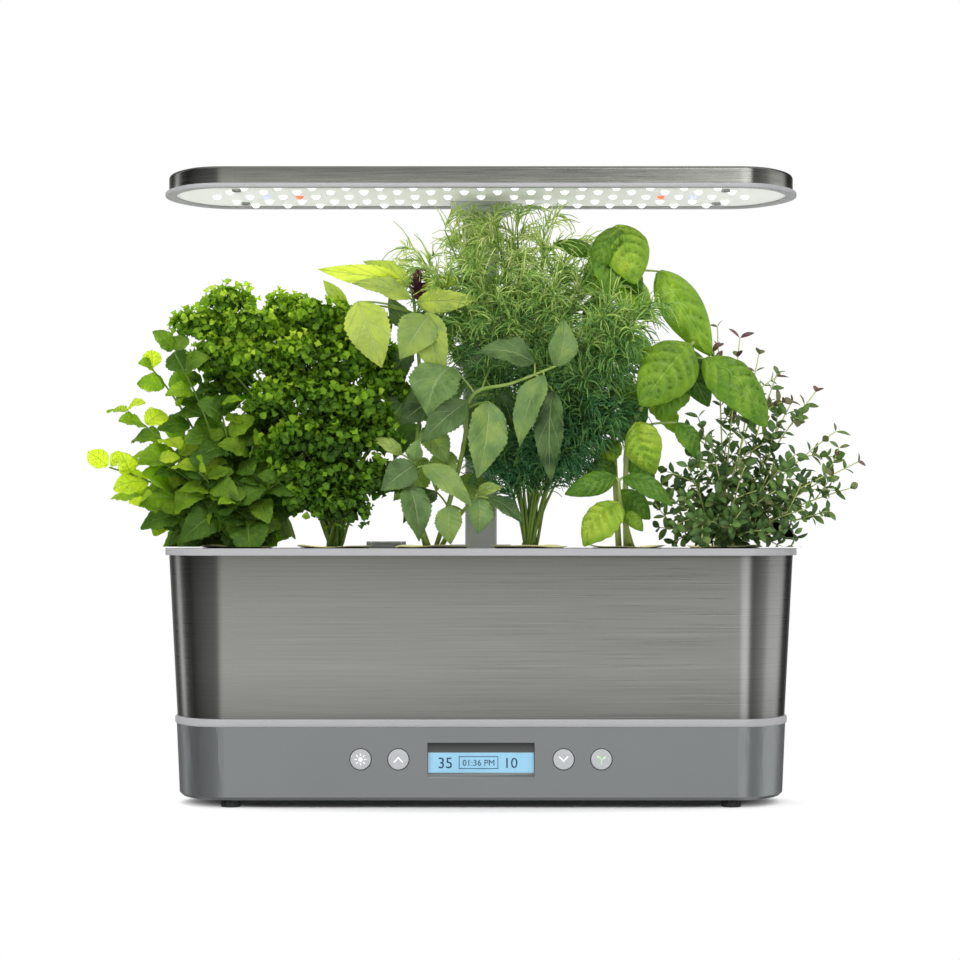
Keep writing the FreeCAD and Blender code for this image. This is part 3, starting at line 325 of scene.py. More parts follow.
def around(name, profile, material, replaced, body="root", closed=True):
    """A profile of (inset, height) pairs in mm, carried round the plan; an open one gets two end faces."""
    points, normals, run = plan_outline()
    inset, height = np.array(profile, float).T
    flat = points[None] - inset[:, None, None] * normals[None]
    level = np.broadcast_to(height[:, None, None], flat.shape[:2] + (1,))
    where = np.concatenate([flat, level], 2) / 1000
    rows, cols = where.shape[:2]
    row, col = np.meshgrid(np.arange(rows if closed else rows - 1), np.arange(cols), indexing="ij")
    up, on = (row + 1) % rows, (col + 1) % cols
    quads = np.stack([row * cols + col, row * cols + on, up * cols + on, up * cols + col], -1).reshape(-1, 4)
    faces = quads.tolist()
    if not closed:
        faces += [list(range(cols))[::-1], list(range((rows - 1) * cols, rows * cols))]
    made = make_piece(name, where.reshape(-1, 3), faces, material, None, outward=True)
    made.data.set_sharp_from_angle(angle=math.radians(40))
    corner = np.zeros(len(made.data.loops), np.int64)
    made.data.loops.foreach_get("vertex_index", corner)
    slope = np.linalg.norm(np.diff(np.stack([inset, height], 1), axis=0), axis=1)
    up_length = np.concatenate([[0.0], np.cumsum(slope)])
    quad = corner[:4 * len(quads)].reshape(-1, 4)
    seam = (quad % cols == 0) & ((quad % cols).max(1) == cols - 1)[:, None]
    level_length = np.where(seam, run[-1] + np.linalg.norm(points[-1] - points[0]), run[quad % cols])
    sides = np.stack([level_length, up_length[quad // cols]], -1).reshape(-1, 2) / 1000
    ends = where.reshape(-1, 3)[corner[4 * len(quads):], :2]
    uv = np.concatenate([sides, ends]).astype(np.float32)
    made.data.uv_layers.new(name="along").data.foreach_set("uv", uv.ravel())
    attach(made, body)
    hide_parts(replaced)


def heights(node):
    """The lower and upper height of a CAD node, in mm."""
    return [1000 * corner[2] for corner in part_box(node)]


def rounded_ring(outer, inner, low, high, soft, steps=4):
    """Profile of a ring between two insets and two heights, with quarter-round outer edges of radius soft."""
    turn = np.linspace(0, math.pi / 2, steps)
    profile = [(inner, low)]
    profile += [(outer + soft - soft * math.sin(t), low + soft - soft * math.cos(t)) for t in turn]
    profile += [(outer + soft - soft * math.cos(t), high - soft + soft * math.sin(t)) for t in turn]
    return profile + [(inner, high)]


light_abs = moulded("light_grey_moulded_abs", "#9c9c9e", 0.42, 0.3, 0.06)
around("trim_band_ring", rounded_ring(6.5, 17.0, *heights("trim_band"), 1.2), light_abs,
       "trim_band")

# The display: a pale blue LCD lit from behind, under a flush window in a scooped recess. Only plain numbers
# and the time stand on it; they are printed dark blue by the glass itself.
glass = clouded("pale_blue_lcd", 30.0, [(0.3, "#7eadc6"), (0.7, "#8cbad3")], 0.22, glow=0.17)
finished("display_window", glass)
finished("lcd_module", dark_abs)
ink = clouded("dark_blue_lcd_digits", 400.0, [(0.3, "#0f2d45"), (0.7, "#1b3e59")], 0.3)
window_face_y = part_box("display_window")[0][1]
figure_depth = 0.00004
letter_depth = 0.01


def written(name, text, centre_x, centre_z, height):
    """Flat raised figures on the window: centre and height of the figures in mm."""
    curve = bpy.data.curves.new(name, "FONT")
    curve.body = text
    curve.resolution_u = 4
    curve.extrude = letter_depth
    holder = bpy.data.objects.new(name + "_line", curve)
    mesh = bpy.data.meshes.new_from_object(holder)
    bpy.data.objects.remove(holder)
    flat = np.zeros(len(mesh.vertices) * 3, np.float32)
    mesh.vertices.foreach_get("co", flat)
    flat = flat.reshape(-1, 3)
    low, high = flat.min(0), flat.max(0)
    scale = height / 1000 / (high[1] - low[1])
    middle = (low + high) / 2
    placed = np.stack([(flat[:, 0] - middle[0]) * scale + centre_x / 1000,
                       window_face_y - figure_depth - flat[:, 2] / letter_depth * figure_depth,
                       (flat[:, 1] - middle[1]) * scale + centre_z / 1000], 1)
    mesh.vertices.foreach_set("co", placed.astype(np.float32).ravel())
    mesh.update()
    mesh.materials.clear()
    mesh.materials.append(ink)
    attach(held(name, mesh), "root")


written("left_figures", "35", -23.2, 29.3, 7.0)
written("right_figures", "10", 20.0, 29.3, 6.6)
written("clock_figures", "01:36 PM", -1.6, 29.4, 3.9)
clock_left, clock_right, clock_low, clock_high, clock_line = -14.4, 11.2, 25.4, 33.6, 0.45
clock_box = [(x, z) for edge in (0, clock_line)
             for x, z in ((clock_left + edge, clock_low + edge), (clock_right - edge, clock_low + edge),
                          (clock_right - edge, clock_high - edge), (clock_left + edge, clock_high - edge))]
front = [(x / 1000, window_face_y - 1.5 * figure_depth, z / 1000) for x, z in clock_box]
back = [(x, window_face_y + 0.5 * figure_depth, z) for x, y, z in front]
ring = [(k, (k + 1) % 4, 4 + (k + 1) % 4, 4 + k) for k in range(4)]
walls = [(k, k + 8, (k + 1) % 4 + 8, (k + 1) % 4) for k in range(4)]
walls += [(k + 4, (k + 1) % 4 + 4, (k + 1) % 4 + 12, k + 12) for k in range(4)]
under = [tuple(8 + n for n in reversed(face)) for face in ring]
make_piece("clock_frame", front + back, ring + walls + under, ink, "root", smooth=False,
           outward=True)


# The four buttons: moulded caps in round holes with a dark gap, each with a white moulded sign that stands a
# hair proud: a sun for the lamp, two chevrons for the settings and a seedling for the plants.
button_abs = moulded("button_grey_abs", "#a9acae", 0.4, 0.25, 0.06)
for node in ("button_light", "button_up", "button_down", "button_plants"):
    finished(node, button_abs, node)
white_ink = moulded("white_sign_ink", "#f4f4f2", 0.5, 0.2, 0.05)
green_ink = moulded("pale_green_sign_ink", "#b9dcae", 0.5, 0.2, 0.05)
sign_proud, sign_sunk = 0.0001, 0.00002


def sign(name, shapes, node, material):
    """Flat signs on a button: each shape is a list of (x, z) corners in mm from the button's middle."""
    low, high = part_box(node)
    middle_x, middle_z = (low[0] + high[0]) / 2, (low[2] + high[2]) / 2
    points, faces = [], []
    for shape in shapes:
        count, start = len(shape), len(points)
        for lift in (-sign_proud, sign_sunk):
            points += [(middle_x + x / 1000, low[1] + lift, middle_z + z / 1000) for x, z in shape]
        faces += [list(range(start, start + count)),
                  list(range(start + 2 * count - 1, start + count - 1, -1))]
        faces += [[start + (k + 1) % count, start + k, start + count + k, start + count + (k + 1) % count]
                  for k in range(count)]
    make_piece(name, points, faces, material, node, smooth=False, outward=True)


def bar(x0, z0, x1, z1, thick):
    """Corners of a straight bar from one point to another."""
    start, end = np.array([x0, z0]), np.array([x1, z1])
    along = (end - start) / np.linalg.norm(end - start)
    side = np.array([-along[1], along[0]]) * thick / 2
    return [tuple(start - side), tuple(end - side), tuple(end + side), tuple(start + side)]


circle = [(1.45 * math.cos(t), 1.45 * math.sin(t)) for t in np.linspace(0, 2 * math.pi, 20, endpoint=False)]
rays_of_sun = [bar(2.3 * math.cos(t), 2.3 * math.sin(t), 3.9 * math.cos(t), 3.9 * math.sin(t), 0.65)
               for t in np.arange(8) * math.pi / 4]
chevron_up = [[(-3.2, -1.6), (-2.6, -2.2), (0, 0.5), (0, 1.8)],
              [(0, 0.5), (2.6, -2.2), (3.2, -1.6), (0, 1.8)]]
chevron_down = [[(0, -1.8), (0, -0.5), (-2.6, 2.2), (-3.2, 1.6)],
                [(0, -1.8), (3.2, 1.6), (2.6, 2.2), (0, -0.5)]]
blade = [(0.2, -0.4), (1.2, 0.1), (2.7, 0.5), (3.3, 2.0), (1.9, 1.9), (0.8, 1.2)]
seedling = [bar(0, -3.2, 0, 0.2, 0.6), blade, [(-x, z + 0.5) for x, z in reversed(blade)]]
sign("sun_sign", [circle] + rays_of_sun, "button_light", white_ink)
sign("up_sign", chevron_up, "button_up", white_ink)
sign("down_sign", chevron_down, "button_down", white_ink)
sign("seedling_sign", seedling, "button_plants", green_ink)


# The steel wrap: one strip of 0.6 mm stainless sheet, brushed along its length, bent round the tank and
# welded at the back. The brushing spreads reflections up and down, so the corners show soft upright streaks.
def brushed(name, along, dark, light, roughness, painted_height_shade):
    """Brushed stainless steel: streaks, long along the brushing and a fraction of a millimetre across, under
    a painted shade that changes slowly from the piece's lower to its upper edge."""
    made, tree, shader = new_material(name)
    place = add(tree, "UVMap", uv_map="along").outputs["UV"]
    stretched = add(tree, "Mapping", {"Vector": place, "Scale": along}).outputs["Vector"]
    streak = add(tree, "TexNoise", {"Vector": stretched, "Scale": 1.0, "Detail": 4.0,
                                    "Roughness": 0.6}).outputs["Fac"]
    metal = add(tree, "ValToRGB", {"Fac": streak}, stops=[(0.3, dark), (0.7, light)]).outputs["Color"]
    level = add(tree, "SeparateXYZ", {"Vector": add(tree, "TexCoord").outputs["Generated"]}).outputs["Z"]
    # Painted shade: the steel's colour is multiplied by a ramp over the piece's height.
    slow = add(tree, "ValToRGB", {"Fac": level}, stops=painted_height_shade).outputs["Color"]
    metal_under_painted_shade = add(tree, "VectorMath", {0: metal, 1: slow}, operation="MULTIPLY").outputs["Vector"]
    rough = add(tree, "MapRange", {"Value": streak, "From Min": 0.3, "From Max": 0.7,
                                   "To Min": roughness - 0.04, "To Max": roughness + 0.05}).outputs["Result"]
    bump = add(tree, "Bump", {"Height": streak, "Strength": 0.08, "Distance": 0.0001}).outputs["Normal"]
    level_way = add(tree, "Tangent", direction_type="UV_MAP", uv_map="along").outputs["Tangent"]
    connect(tree, shader, {"Base Color": metal_under_painted_shade, "Roughness": rough, "Normal": bump, "Tangent": level_way,
                           "Anisotropic": 0.85, "Anisotropic Rotation": 0.25, "Metallic": 1.0})
    return made


# The second list of stops is painted shade: the wrap is darker near its lower and upper edges.
wrap_steel = brushed("stainless_brushed_along_wrap", (9.0, 1300.0, 1.0), "#a6a6a3", "#b9b9b6", 0.3, [
    (0.0, "#d0d0d0"), (0.05, "#e6e6e6"), (0.3, "#ffffff"), (0.7, "#f4f4f4"), (0.9, "#dfdfdf"),
    (1.0, "#cacaca")])
wrap_low, wrap_high = heights("steel_wrap")
wrap_inset, wrap_lean, wrap_sheet = 8.0, 5.5, 0.6
wrap_levels = np.linspace(0, 1, 9)
wrap_walls = [(wrap_inset + sheet - wrap_lean * t, wrap_low + t * (wrap_high - wrap_low))
              for sheet, levels in ((0.0, wrap_levels), (wrap_sheet, wrap_levels[::-1])) for t in levels]
around("brushed_wrap", wrap_walls, wrap_steel, "steel_wrap")

# Inside the tank and the base: plain working parts of unpainted plastic, a board with its green mask and a
# mill-finished aluminium spreader. They show only when the garden is opened.
natural_plastic = moulded("natural_polypropylene", "#b4b6b8", 0.45)
solder_mask = moulded("green_solder_mask", "#1f5a35", 0.35)
aluminium = moulded("mill_aluminium", "#b9bbbd", 0.35, 0.5, 0.1, metallic=1.0)
finished("tank_bowl", natural_plastic)
finished("water_float", natural_plastic, "water_float")
finished("control_board", solder_mask)
for node in ("tact_switches", "power_jack", "grow_baskets", "pump_body", "pump_cover", "outlet_tube",
             "float_guide"):
    finished(node, dark_abs)
finished("pump_impeller", dark_abs, "pump_impeller")

# The deck: a light grey ABS moulding with a raised rim and six pod holes. At its back a small lid of the same
# plastic closes the fill port.
finished("grow_deck", light_abs)
finished("fill_lid", light_abs, "fill_lid")

# Each pod: a dark sponge of peat foam, and a round label of uncoated yellowish card that has curled a little
# at its edge in the damp.
peat, tree, shader = new_material("peat_foam")
place = add(tree, "TexCoord").outputs["Object"]
pores = add(tree, "TexVoronoi", {"Vector": place, "Scale": 700.0}).outputs["Distance"]
soil = add(tree, "ValToRGB", {"Fac": pores}, stops=[(0.1, "#1f150e"), (0.8, "#4d3827")]).outputs["Color"]
dents = add(tree, "Bump", {"Height": pores, "Strength": 0.6, "Distance": 0.0008}).outputs["Normal"]
connect(tree, shader, {"Base Color": soil, "Normal": dents, "Roughness": 0.95})
finished("grow_sponges", peat)
card, tree, shader = new_material("uncoated_yellow_card")
place = add(tree, "TexCoord").outputs["Object"]
fibre = add(tree, "TexNoise", {"Vector": place, "Scale": 900.0, "Detail": 5.0}).outputs["Fac"]
stain = add(tree, "TexNoise", {"Vector": place, "Scale": 60.0, "Detail": 3.0}).outputs["Fac"]
pulp = add(tree, "ValToRGB", {"Fac": stain}, stops=[(0.3, "#c9c489"), (0.7, "#ddd9a6")]).outputs["Color"]
nap = add(tree, "Bump", {"Height": fibre, "Strength": 0.25, "Distance": 0.0002}).outputs["Normal"]
connect(tree, shader, {"Base Color": pulp, "Normal": nap, "Roughness": 0.85})
pod_x = np.array([-162.5, -97.5, -32.5, 32.5, 97.5, 162.5])
label_outer, label_inner, label_thick, label_low = 25.0, 13.0, 0.4, heights("pod_labels")[0]
label_rings, label_points_round = 7, 72
turn = np.linspace(0, 2 * math.pi, label_points_round, endpoint=False)
outward_share = np.linspace(0, 1, label_rings)
ring_share = np.concatenate([outward_share, outward_share[::-1]])
top_side = np.repeat([0.0, 1.0], label_rings)
pod, ring, angle = np.meshgrid(np.arange(len(pod_x)), np.arange(2 * label_rings), turn, indexing="ij")
out = ring_share[ring]
radius = label_inner + (label_outer - label_inner) * out
curl = out ** 4 * (0.75 + 0.55 * np.sin(2 * angle + pod * 1.9) + 0.3 * np.sin(5 * angle + pod))
label_points = np.stack([pod_x[pod] + radius * np.cos(angle), radius * np.sin(angle),
                         label_low + label_thick * top_side[ring] + np.maximum(curl, 0)], -1) / 1000


def wrapped_quads(copies, rows, cols, close_rows):
    """Quads of copies grids of rows by cols points: columns join up, and rows too where asked."""
    last = rows if close_rows else rows - 1
    copy, row, col = np.meshgrid(np.arange(copies), np.arange(last), np.arange(cols), indexing="ij")
    up, on = (row + 1) % rows, (col + 1) % cols
    start = copy * rows * cols
    return np.stack([start + row * cols + col, start + up * cols + col, start + up * cols + on,
                     start + row * cols + on], -1).reshape(-1, 4)


make_piece("curled_labels", label_points.reshape(-1, 3), wrapped_quads(*label_points.shape[:3], True), card,
           "root", outward=True, replaced="pod_labels")

# The mast: an oblong post in a socket on the deck, with a sleeve that slides on it and carries the lamp by a
# neck. All are light grey ABS, a little bluer than the rim.
mast_abs = moulded("cool_grey_moulded_abs", "#bfbfc6", 0.38, 0.3, 0.06)
for node, body in (("mast_socket", "root"), ("mast_post", "root"), ("mast_cap", "root"),
                   ("mast_sleeve", "lamp"), ("neck_bracket", "lamp")):
    finished(node, mast_abs, body)
finished("lamp_cable", rubber, "lamp")

# The lamp: a pressed cover of brushed stainless steel with a rounded rim, over a light grey bezel that holds
# the white LED board. The cover's brushing runs along the lamp, on its top and its band alike.
# The list of stops is painted shade: the cover darkens towards its top.
cover_steel = brushed("stainless_brushed_along_cover", (24.0, 1300.0, 1.0), "#8c8c88", "#b6b6b1", 0.27,
                      [(0.0, "#ffffff"), (0.6, "#e4e4e4"), (1.0, "#c8c8c8")])
cover_low, cover_high = heights("lamp_cover")
cover_inset, cover_sheet, cover_round, cover_lip = 2.5, 0.8, 2.4, 8
cover_inner = cover_inset + cover_sheet
profile = [(cover_inner + cover_lip, cover_high - cover_sheet), (cover_inner, cover_high - cover_sheet),
           (cover_inner, cover_low), (cover_inset, cover_low)]
profile += [(cover_inset + cover_round * (1 - math.cos(t)), cover_high - cover_round * (1 - math.sin(t)))
            for t in np.linspace(0, math.pi / 2, 9)]
around("brushed_lamp_cover", profile + [(cover_inset + cover_lip, cover_high)], cover_steel,
       "lamp_cover", "lamp", closed=False)
bezel_low, bezel_high = heights("lamp_bezel")
bezel_edge, bezel_ledge, bezel_step = 4.0, 7.0, 1.5
profile = rounded_ring(0.0, bezel_edge, bezel_low, bezel_high, 0.7)[1:]
profile += [(bezel_edge, bezel_low + bezel_step), (bezel_ledge, bezel_low + bezel_step),
            (bezel_ledge, bezel_low)]
around("lamp_bezel_ring", profile, light_abs, "lamp_bezel", "lamp")
white_mask_with_painted_glow = moulded("white_solder_mask_with_painted_glow", "#e4e5e1", 0.5, 0.6, 0.05)
# The board's faint glow is painted light: it stands in for the LEDs' light falling on it.
connect(white_mask_with_painted_glow.node_tree, white_mask_with_painted_glow.node_tree.nodes["Principled BSDF"],
        {"Emission Color": colour("#fffffa"), "Emission Strength": 0.05})
finished("led_board", white_mask_with_painted_glow, "lamp")
finished("heat_spreader", aluminium, "lamp")
finished("lamp_frame", dark_abs, "lamp")

# The LEDs have silicone lenses: milky, smooth and lit from inside. Most are warm white, with a few red and
# blue ones between them.
for node, name, stops, glow, slot in (
        ("leds_white", "warm_white_led_lens", [(0.3, "#fffdf0"), (0.7, "#ffffff")], 1.6, "led_white"),
        ("leds_red", "red_led_lens", [(0.3, "#ff5a3c"), (0.7, "#ff8a66")], 0.7, "led_red"),
        ("leds_blue", "blue_led_lens", [(0.3, "#8f95ff"), (0.7, "#c4c8ff")], 0.9, "led_blue")):
    finished(node, clouded(name, 500.0, stops, 0.25, glow=glow), "lamp")


# The plants. Stalks are tapered tubes on smooth curves, and leaves are thin closed shells that bend, cup,
# pucker and fray by formulas of two shares: how far along the leaf a point lies, and how far across.
plant_low, plant_high = (-262.0, -62.0, 169.3), (257.8, 27.0, 398.5)
sponge_top = 1000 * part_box("grow_sponges")[1][2]
chance = np.random.default_rng(20)


def every(*choices):
    """All combinations of the choices, each a count or an array: one flat array for each choice."""
    grids = np.meshgrid(*(np.arange(c) if np.ndim(c) == 0 else c for c in choices), indexing="ij")
    return [grid.ravel() for grid in grids]


def unit(vectors):
    """The same vectors, each one long."""
    return vectors / np.maximum(np.linalg.norm(vectors, axis=-1, keepdims=True), 1e-9)


def shells(name, grid, material, uv, tone, replaced):
    """Closed tubes from a grid of copies, rings and points around each ring, in mm; each end is closed."""
    copies, rings, count = grid.shape[:3]
    strip = np.array([(i, i + 1, count - 2 - i, count - 1 - i) for i in range(count // 2 - 1)])
    first = (np.arange(copies) * rings * count)[:, None, None]
    near = (first + strip).reshape(-1, 4)
    far_end = (first + (rings - 1) * count + strip[:, ::-1]).reshape(-1, 4)
    faces = np.concatenate([wrapped_quads(copies, rings, count, False), near, far_end])
    points = np.clip(grid.reshape(-1, 3), plant_low, plant_high) / 1000
    make_piece(name, points, faces, material, "root", uv.reshape(-1, 2), tone.reshape(-1),
               replaced=replaced)


def tubes(name, paths, thick, thin, material, sides=6, tone=0.5, replaced=None):
    """Tapered round tubes along paths, an array of copies, points and x, y, z in mm; sizes are diameters."""
    ahead = unit(np.gradient(paths, axis=1))
    across = unit(np.cross(ahead, (0.31, 0.9, 0.3)))
    up = np.cross(across, ahead)
    turn = 2 * math.pi * np.arange(sides) / sides
    share = np.linspace(0, 1, paths.shape[1])
    radius = (thick + (thin - thick) * share) / 2
    spoke = np.cos(turn)[:, None] * across[:, :, None] + np.sin(turn)[:, None] * up[:, :, None]
    grid = paths[:, :, None] + radius[:, None, None] * spoke
    uv = np.stack(np.broadcast_arrays(share[:, None], turn / (2 * math.pi)), -1)
    shade = np.broadcast_to(np.asarray(tone, float).reshape(-1, 1, 1), grid.shape[:3])
    shells(name, grid, material, np.broadcast_to(uv, grid.shape[:3] + (2,)), shade, replaced)


def leaves(name, base, tip, width, facing, material, tone, rows=14, ring=14, bulge=0.8, blunt=0.75, arch=0.1,
           droop=0.0, cup=0.0, fold=0.0, pucker=0.0, veins=7, teeth=0.0, teeth_count=14, wave=0.0, waves=3.0,
           thick=0.4, replaced=None):
    """Leaves as thin closed shells from base to tip, in mm.

    Half width follows the sine of pi times the share along to the power bulge, that sine to the power blunt.
    Height over the straight line is the sum of a bow along the leaf, a droop of its tip, a cup or a fold
    across it, puckers between side veins, and waves that grow with the square of the share across."""

    def column(value):
        """One value for all leaves, or one for each, shaped to go with the grid of points."""
        return np.broadcast_to(np.asarray(value, float).reshape(-1, 1, 1), (len(base), 1, 1))

    length = column(np.linalg.norm(tip - base, axis=1))
    width = column(width)
    phase = column(np.arange(len(base)) * 1.7)
    ahead = unit(tip - base)
    across = unit(np.cross(ahead, facing))
    up = np.cross(across, ahead)
    s = np.linspace(0, 1, rows)[None, :, None]
    turn = (2 * math.pi * np.arange(ring) / ring)[None, None, :]
    c = np.cos(turn)
    rim = np.abs(c)
    full = np.maximum(np.sin(math.pi * np.clip(s, 0.012, 0.988) ** bulge), 0) ** blunt
    notch = (s * teeth_count + 0.3 * phase) % 1.0
    half = width / 2 * full * (1 + teeth * (0.5 - notch) * rim ** 6)
    wrinkle = np.abs(np.sin(math.pi * (veins * s - 1.6 * rim))) * (0.25 + rim * (1 - rim) * 3)
    swell = c ** 2 * np.sin(2 * math.pi * waves * s + phase + 1.1 * np.sign(c))
    high = (length * (column(arch) * 4 * s * (1 - s) - column(droop) * s ** 2.6)
            + width * full * (fold * rim - cup * c ** 2 + pucker * wrinkle + wave * swell)
            + thick / 2 * np.sin(turn) * np.maximum(full, 0.25))
    grid = (base[:, None, None] + ahead[:, None, None] * (length * s)[..., None]
            + across[:, None, None] * (half * c)[..., None] + up[:, None, None] * high[..., None])
    uv = np.stack(np.broadcast_arrays(s + 0 * high, 0.5 + 0.5 * c), -1)
    shade = column(tone) + 0.08 * (np.sin(turn) < -0.01) + 0 * s
    shells(name, grid, material, uv, shade, replaced)


def bowed(start, bend, end, count):
    """Points of a quadratic curve from start to end, drawn towards bend; each is an array of points."""
    t = np.linspace(0, 1, count)[None, :, None]
    return (1 - t) ** 2 * start[:, None] + 2 * t * (1 - t) * bend[:, None] + t ** 2 * end[:, None]


def arching(pod, tips, count=14, spread=5.0, rise=0.55):
    """Stalks of one plant: each starts in its pod's sponge and arches up and out to its tip."""
    k = np.arange(len(tips))
    reach = spread * np.sqrt((k % 9) / 9)
    foot = np.stack([pod_x[pod] + reach * np.cos(k * 2.4), reach * np.sin(k * 2.4), 0 * k + sponge_top], 1)
    return bowed(foot, foot + (tips - foot) * (0.3, 0.3, rise) + (0, 0, 8.0), tips, count)


def smooth_line(points, count=20):
    """Points of a smooth line through the given points: cubics that meet each other in their slopes."""
    points = np.asarray(points, float)
    ends = np.concatenate([[2 * points[0] - points[1]], points, [2 * points[-1] - points[-2]]])
    where = np.linspace(0, len(points) - 1 - 1e-9, count)
    k = where.astype(int)
    t = (where - k)[:, None]
    a, b, c, d = ends[k], ends[k + 1], ends[k + 2], ends[k + 3]
    return (2 * b + (c - a) * t + (2 * a - 5 * b + 4 * c - d) * t ** 2 + (3 * b - a - 3 * c + d) * t ** 3) / 2


def leaf_stalks(lines, bases):
    """Short stalks from the nearest lower point of a plant's main stalks to the base of each leaf."""
    line = np.concatenate(lines)
    gap = np.linalg.norm(line[None] - bases[:, None], axis=2)
    gap += np.maximum(line[None, :, 2] - bases[:, None, 2] + 4, 0)
    root = line[np.argmin(gap, 1)]
    bend = (root + bases) / 2
    bend[:, 2] += 0.12 * np.linalg.norm(bases - root, axis=1)
    return bowed(root, bend, bases, 7)


def leafy(name, stops, vein_tint, vein_count, slant, vein_share, roughness, through, depth=0.5, grain=700.0):
    """Leaf: a waxy skin over green flesh, with paler sunken veins, that lets some light through."""
    made, tree, shader = new_material(name)
    tone = add(tree, "Attribute", attribute_name="tone").outputs["Fac"]
    place = add(tree, "TexCoord").outputs["Object"]
    cloud = add(tree, "TexNoise", {"Vector": place, "Scale": 70.0, "Detail": 3.0}).outputs["Fac"]
    mottle = add(tree, "MapRange", {"Value": cloud, "From Min": 0.3, "From Max": 0.7, "To Min": -0.12,
                                    "To Max": 0.12}).outputs["Result"]
    mixed = add(tree, "Math", {0: tone, 1: mottle}, operation="ADD").outputs[0]
    flesh = add(tree, "ValToRGB", {"Fac": mixed}, stops=stops).outputs["Color"]
    where = add(tree, "SeparateXYZ", {"Vector": add(tree, "UVMap", uv_map="along").outputs["UV"]}).outputs
    centred = add(tree, "Math", {0: where["Y"], 1: 0.5}, operation="SUBTRACT").outputs[0]
    rim = add(tree, "Math", {0: centred}, operation="ABSOLUTE").outputs[0]
    run = add(tree, "Math", {0: where["X"], 1: vein_count}, operation="MULTIPLY").outputs[0]
    lean = add(tree, "Math", {0: rim, 1: slant}, operation="MULTIPLY").outputs[0]
    slanted = add(tree, "Math", {0: run, 1: lean}, operation="SUBTRACT").outputs[0]
    between = add(tree, "Math", {0: slanted, 1: 1.0}, operation="PINGPONG").outputs[0]
    side_vein = add(tree, "MapRange", {"Value": between, "From Min": 0.16, "From Max": 0.0, "To Max": 0.65},
                    interpolation_type="SMOOTHSTEP").outputs["Result"]
    midrib = add(tree, "MapRange", {"Value": rim, "From Min": 0.035, "From Max": 0.012},
                 interpolation_type="SMOOTHSTEP").outputs["Result"]
    vein = add(tree, "Math", {0: side_vein, 1: midrib}, operation="MAXIMUM").outputs[0]
    paler = add(tree, "Math", {0: vein, 1: vein_share}, operation="MULTIPLY").outputs[0]
    skin = add(tree, "Mix", {0: paler, 6: flesh, 7: colour(vein_tint)}, data_type="RGBA").outputs[2]
    cells = add(tree, "TexNoise", {"Vector": place, "Scale": grain, "Detail": 2.0}).outputs["Fac"]
    relief = add(tree, "Math", {0: cells, 1: vein}, operation="SUBTRACT").outputs[0]
    bump = add(tree, "Bump", {"Height": relief, "Strength": depth, "Distance": 0.0005}).outputs["Normal"]
    connect(tree, shader, {"Base Color": skin, "Normal": bump, "Roughness": roughness,
                           "Specular IOR Level": 0.45})
    lit = add(tree, "BsdfTranslucent", {"Color": skin, "Normal": bump}).outputs[0]
    both = add(tree, "MixShader", {0: through, 1: shader.outputs[0], 2: lit}).outputs[0]
    tree.links.new(both, tree.nodes["Material Output"].inputs["Surface"])
    return made


stalk_skin = leafy("green_stalk_skin", [(0.0, "#3f5f22"), (0.5, "#7d9c3f"), (1.0, "#c6cf86")], "#a9bd6a", 1.0,
                   0.0, 0.0, 0.5, 0.2, 0.2)

# Mint: arching stalks with crossed pairs of wrinkled, toothed leaves that get smaller towards the tips.
# Those on the outer left are painted lighter and yellow-green, as painted backlight.
mint_skin = leafy("mint_leaf", [(0.0, "#38601a"), (0.35, "#648e2a"), (0.65, "#a4c830"), (1.0, "#e0f046")],
                  "#a8cc62", 9.0, 5.0, 0.45, 0.45, 0.6, 0.9)
mint_tips = np.array([
    (-247, -8, 222), (-234, -22, 258), (-220, 8, 288), (-203, -18, 298), (-186, 14, 280), (-172, -28, 262),
    (-150, -22, 236), (-140, 8, 254), (-212, -34, 226), (-236, 18, 200), (-184, -42, 218), (-160, -46, 198),
    (-132, -36, 212), (-200, 28, 240), (-222, -30, 196)], float)
mint_lines = arching(0, mint_tips, 17)
tubes("mint_stalk_tubes", mint_lines, 2.4, 1.2, stalk_skin, tone=0.25, replaced="mint_stems")
pairs = 7
stalk, pair, side = every(len(mint_tips), pairs, 2)
count = len(stalk)
angle = stalk * 2.4 + pair * math.pi / 2 + side * math.pi + chance.uniform(-0.5, 0.5, count)
share = pair / (pairs - 1)
length = (41 - 23 * share) * chance.uniform(0.75, 1.1, count)
start = mint_lines[stalk, 5 + (pair * 1.84).astype(int)]
climb = -0.35 + 0.9 * share + chance.uniform(-0.5, 0.4, count)
reach = unit(np.stack([np.cos(angle), 0.7 * np.sin(angle), climb], 1))
lean = np.stack([chance.uniform(-0.6, 0.6, count), chance.uniform(-1.5, -0.5, count), np.full(count, 0.8)], 1)
# Painted light: leaves further out to the left get a higher tone, standing in for light from behind.
painted_backlight = np.clip((-188 - start[:, 0]) / 40, 0, 1) * 0.45
leaves("mint_leaf_shells", start + reach * 1.5, start + reach * length[:, None], 0.72 * length, lean,
       mint_skin, 0.15 + painted_backlight + 0.25 * share + chance.uniform(-0.15, 0.3, count), rows=23, ring=18,
       bulge=0.85, blunt=0.68, arch=chance.uniform(0.02, 0.16, count), droop=chance.uniform(0.0, 0.3, count),
       fold=0.08, pucker=0.09, teeth=0.2, teeth_count=11, wave=0.05, replaced="mint_leaves")

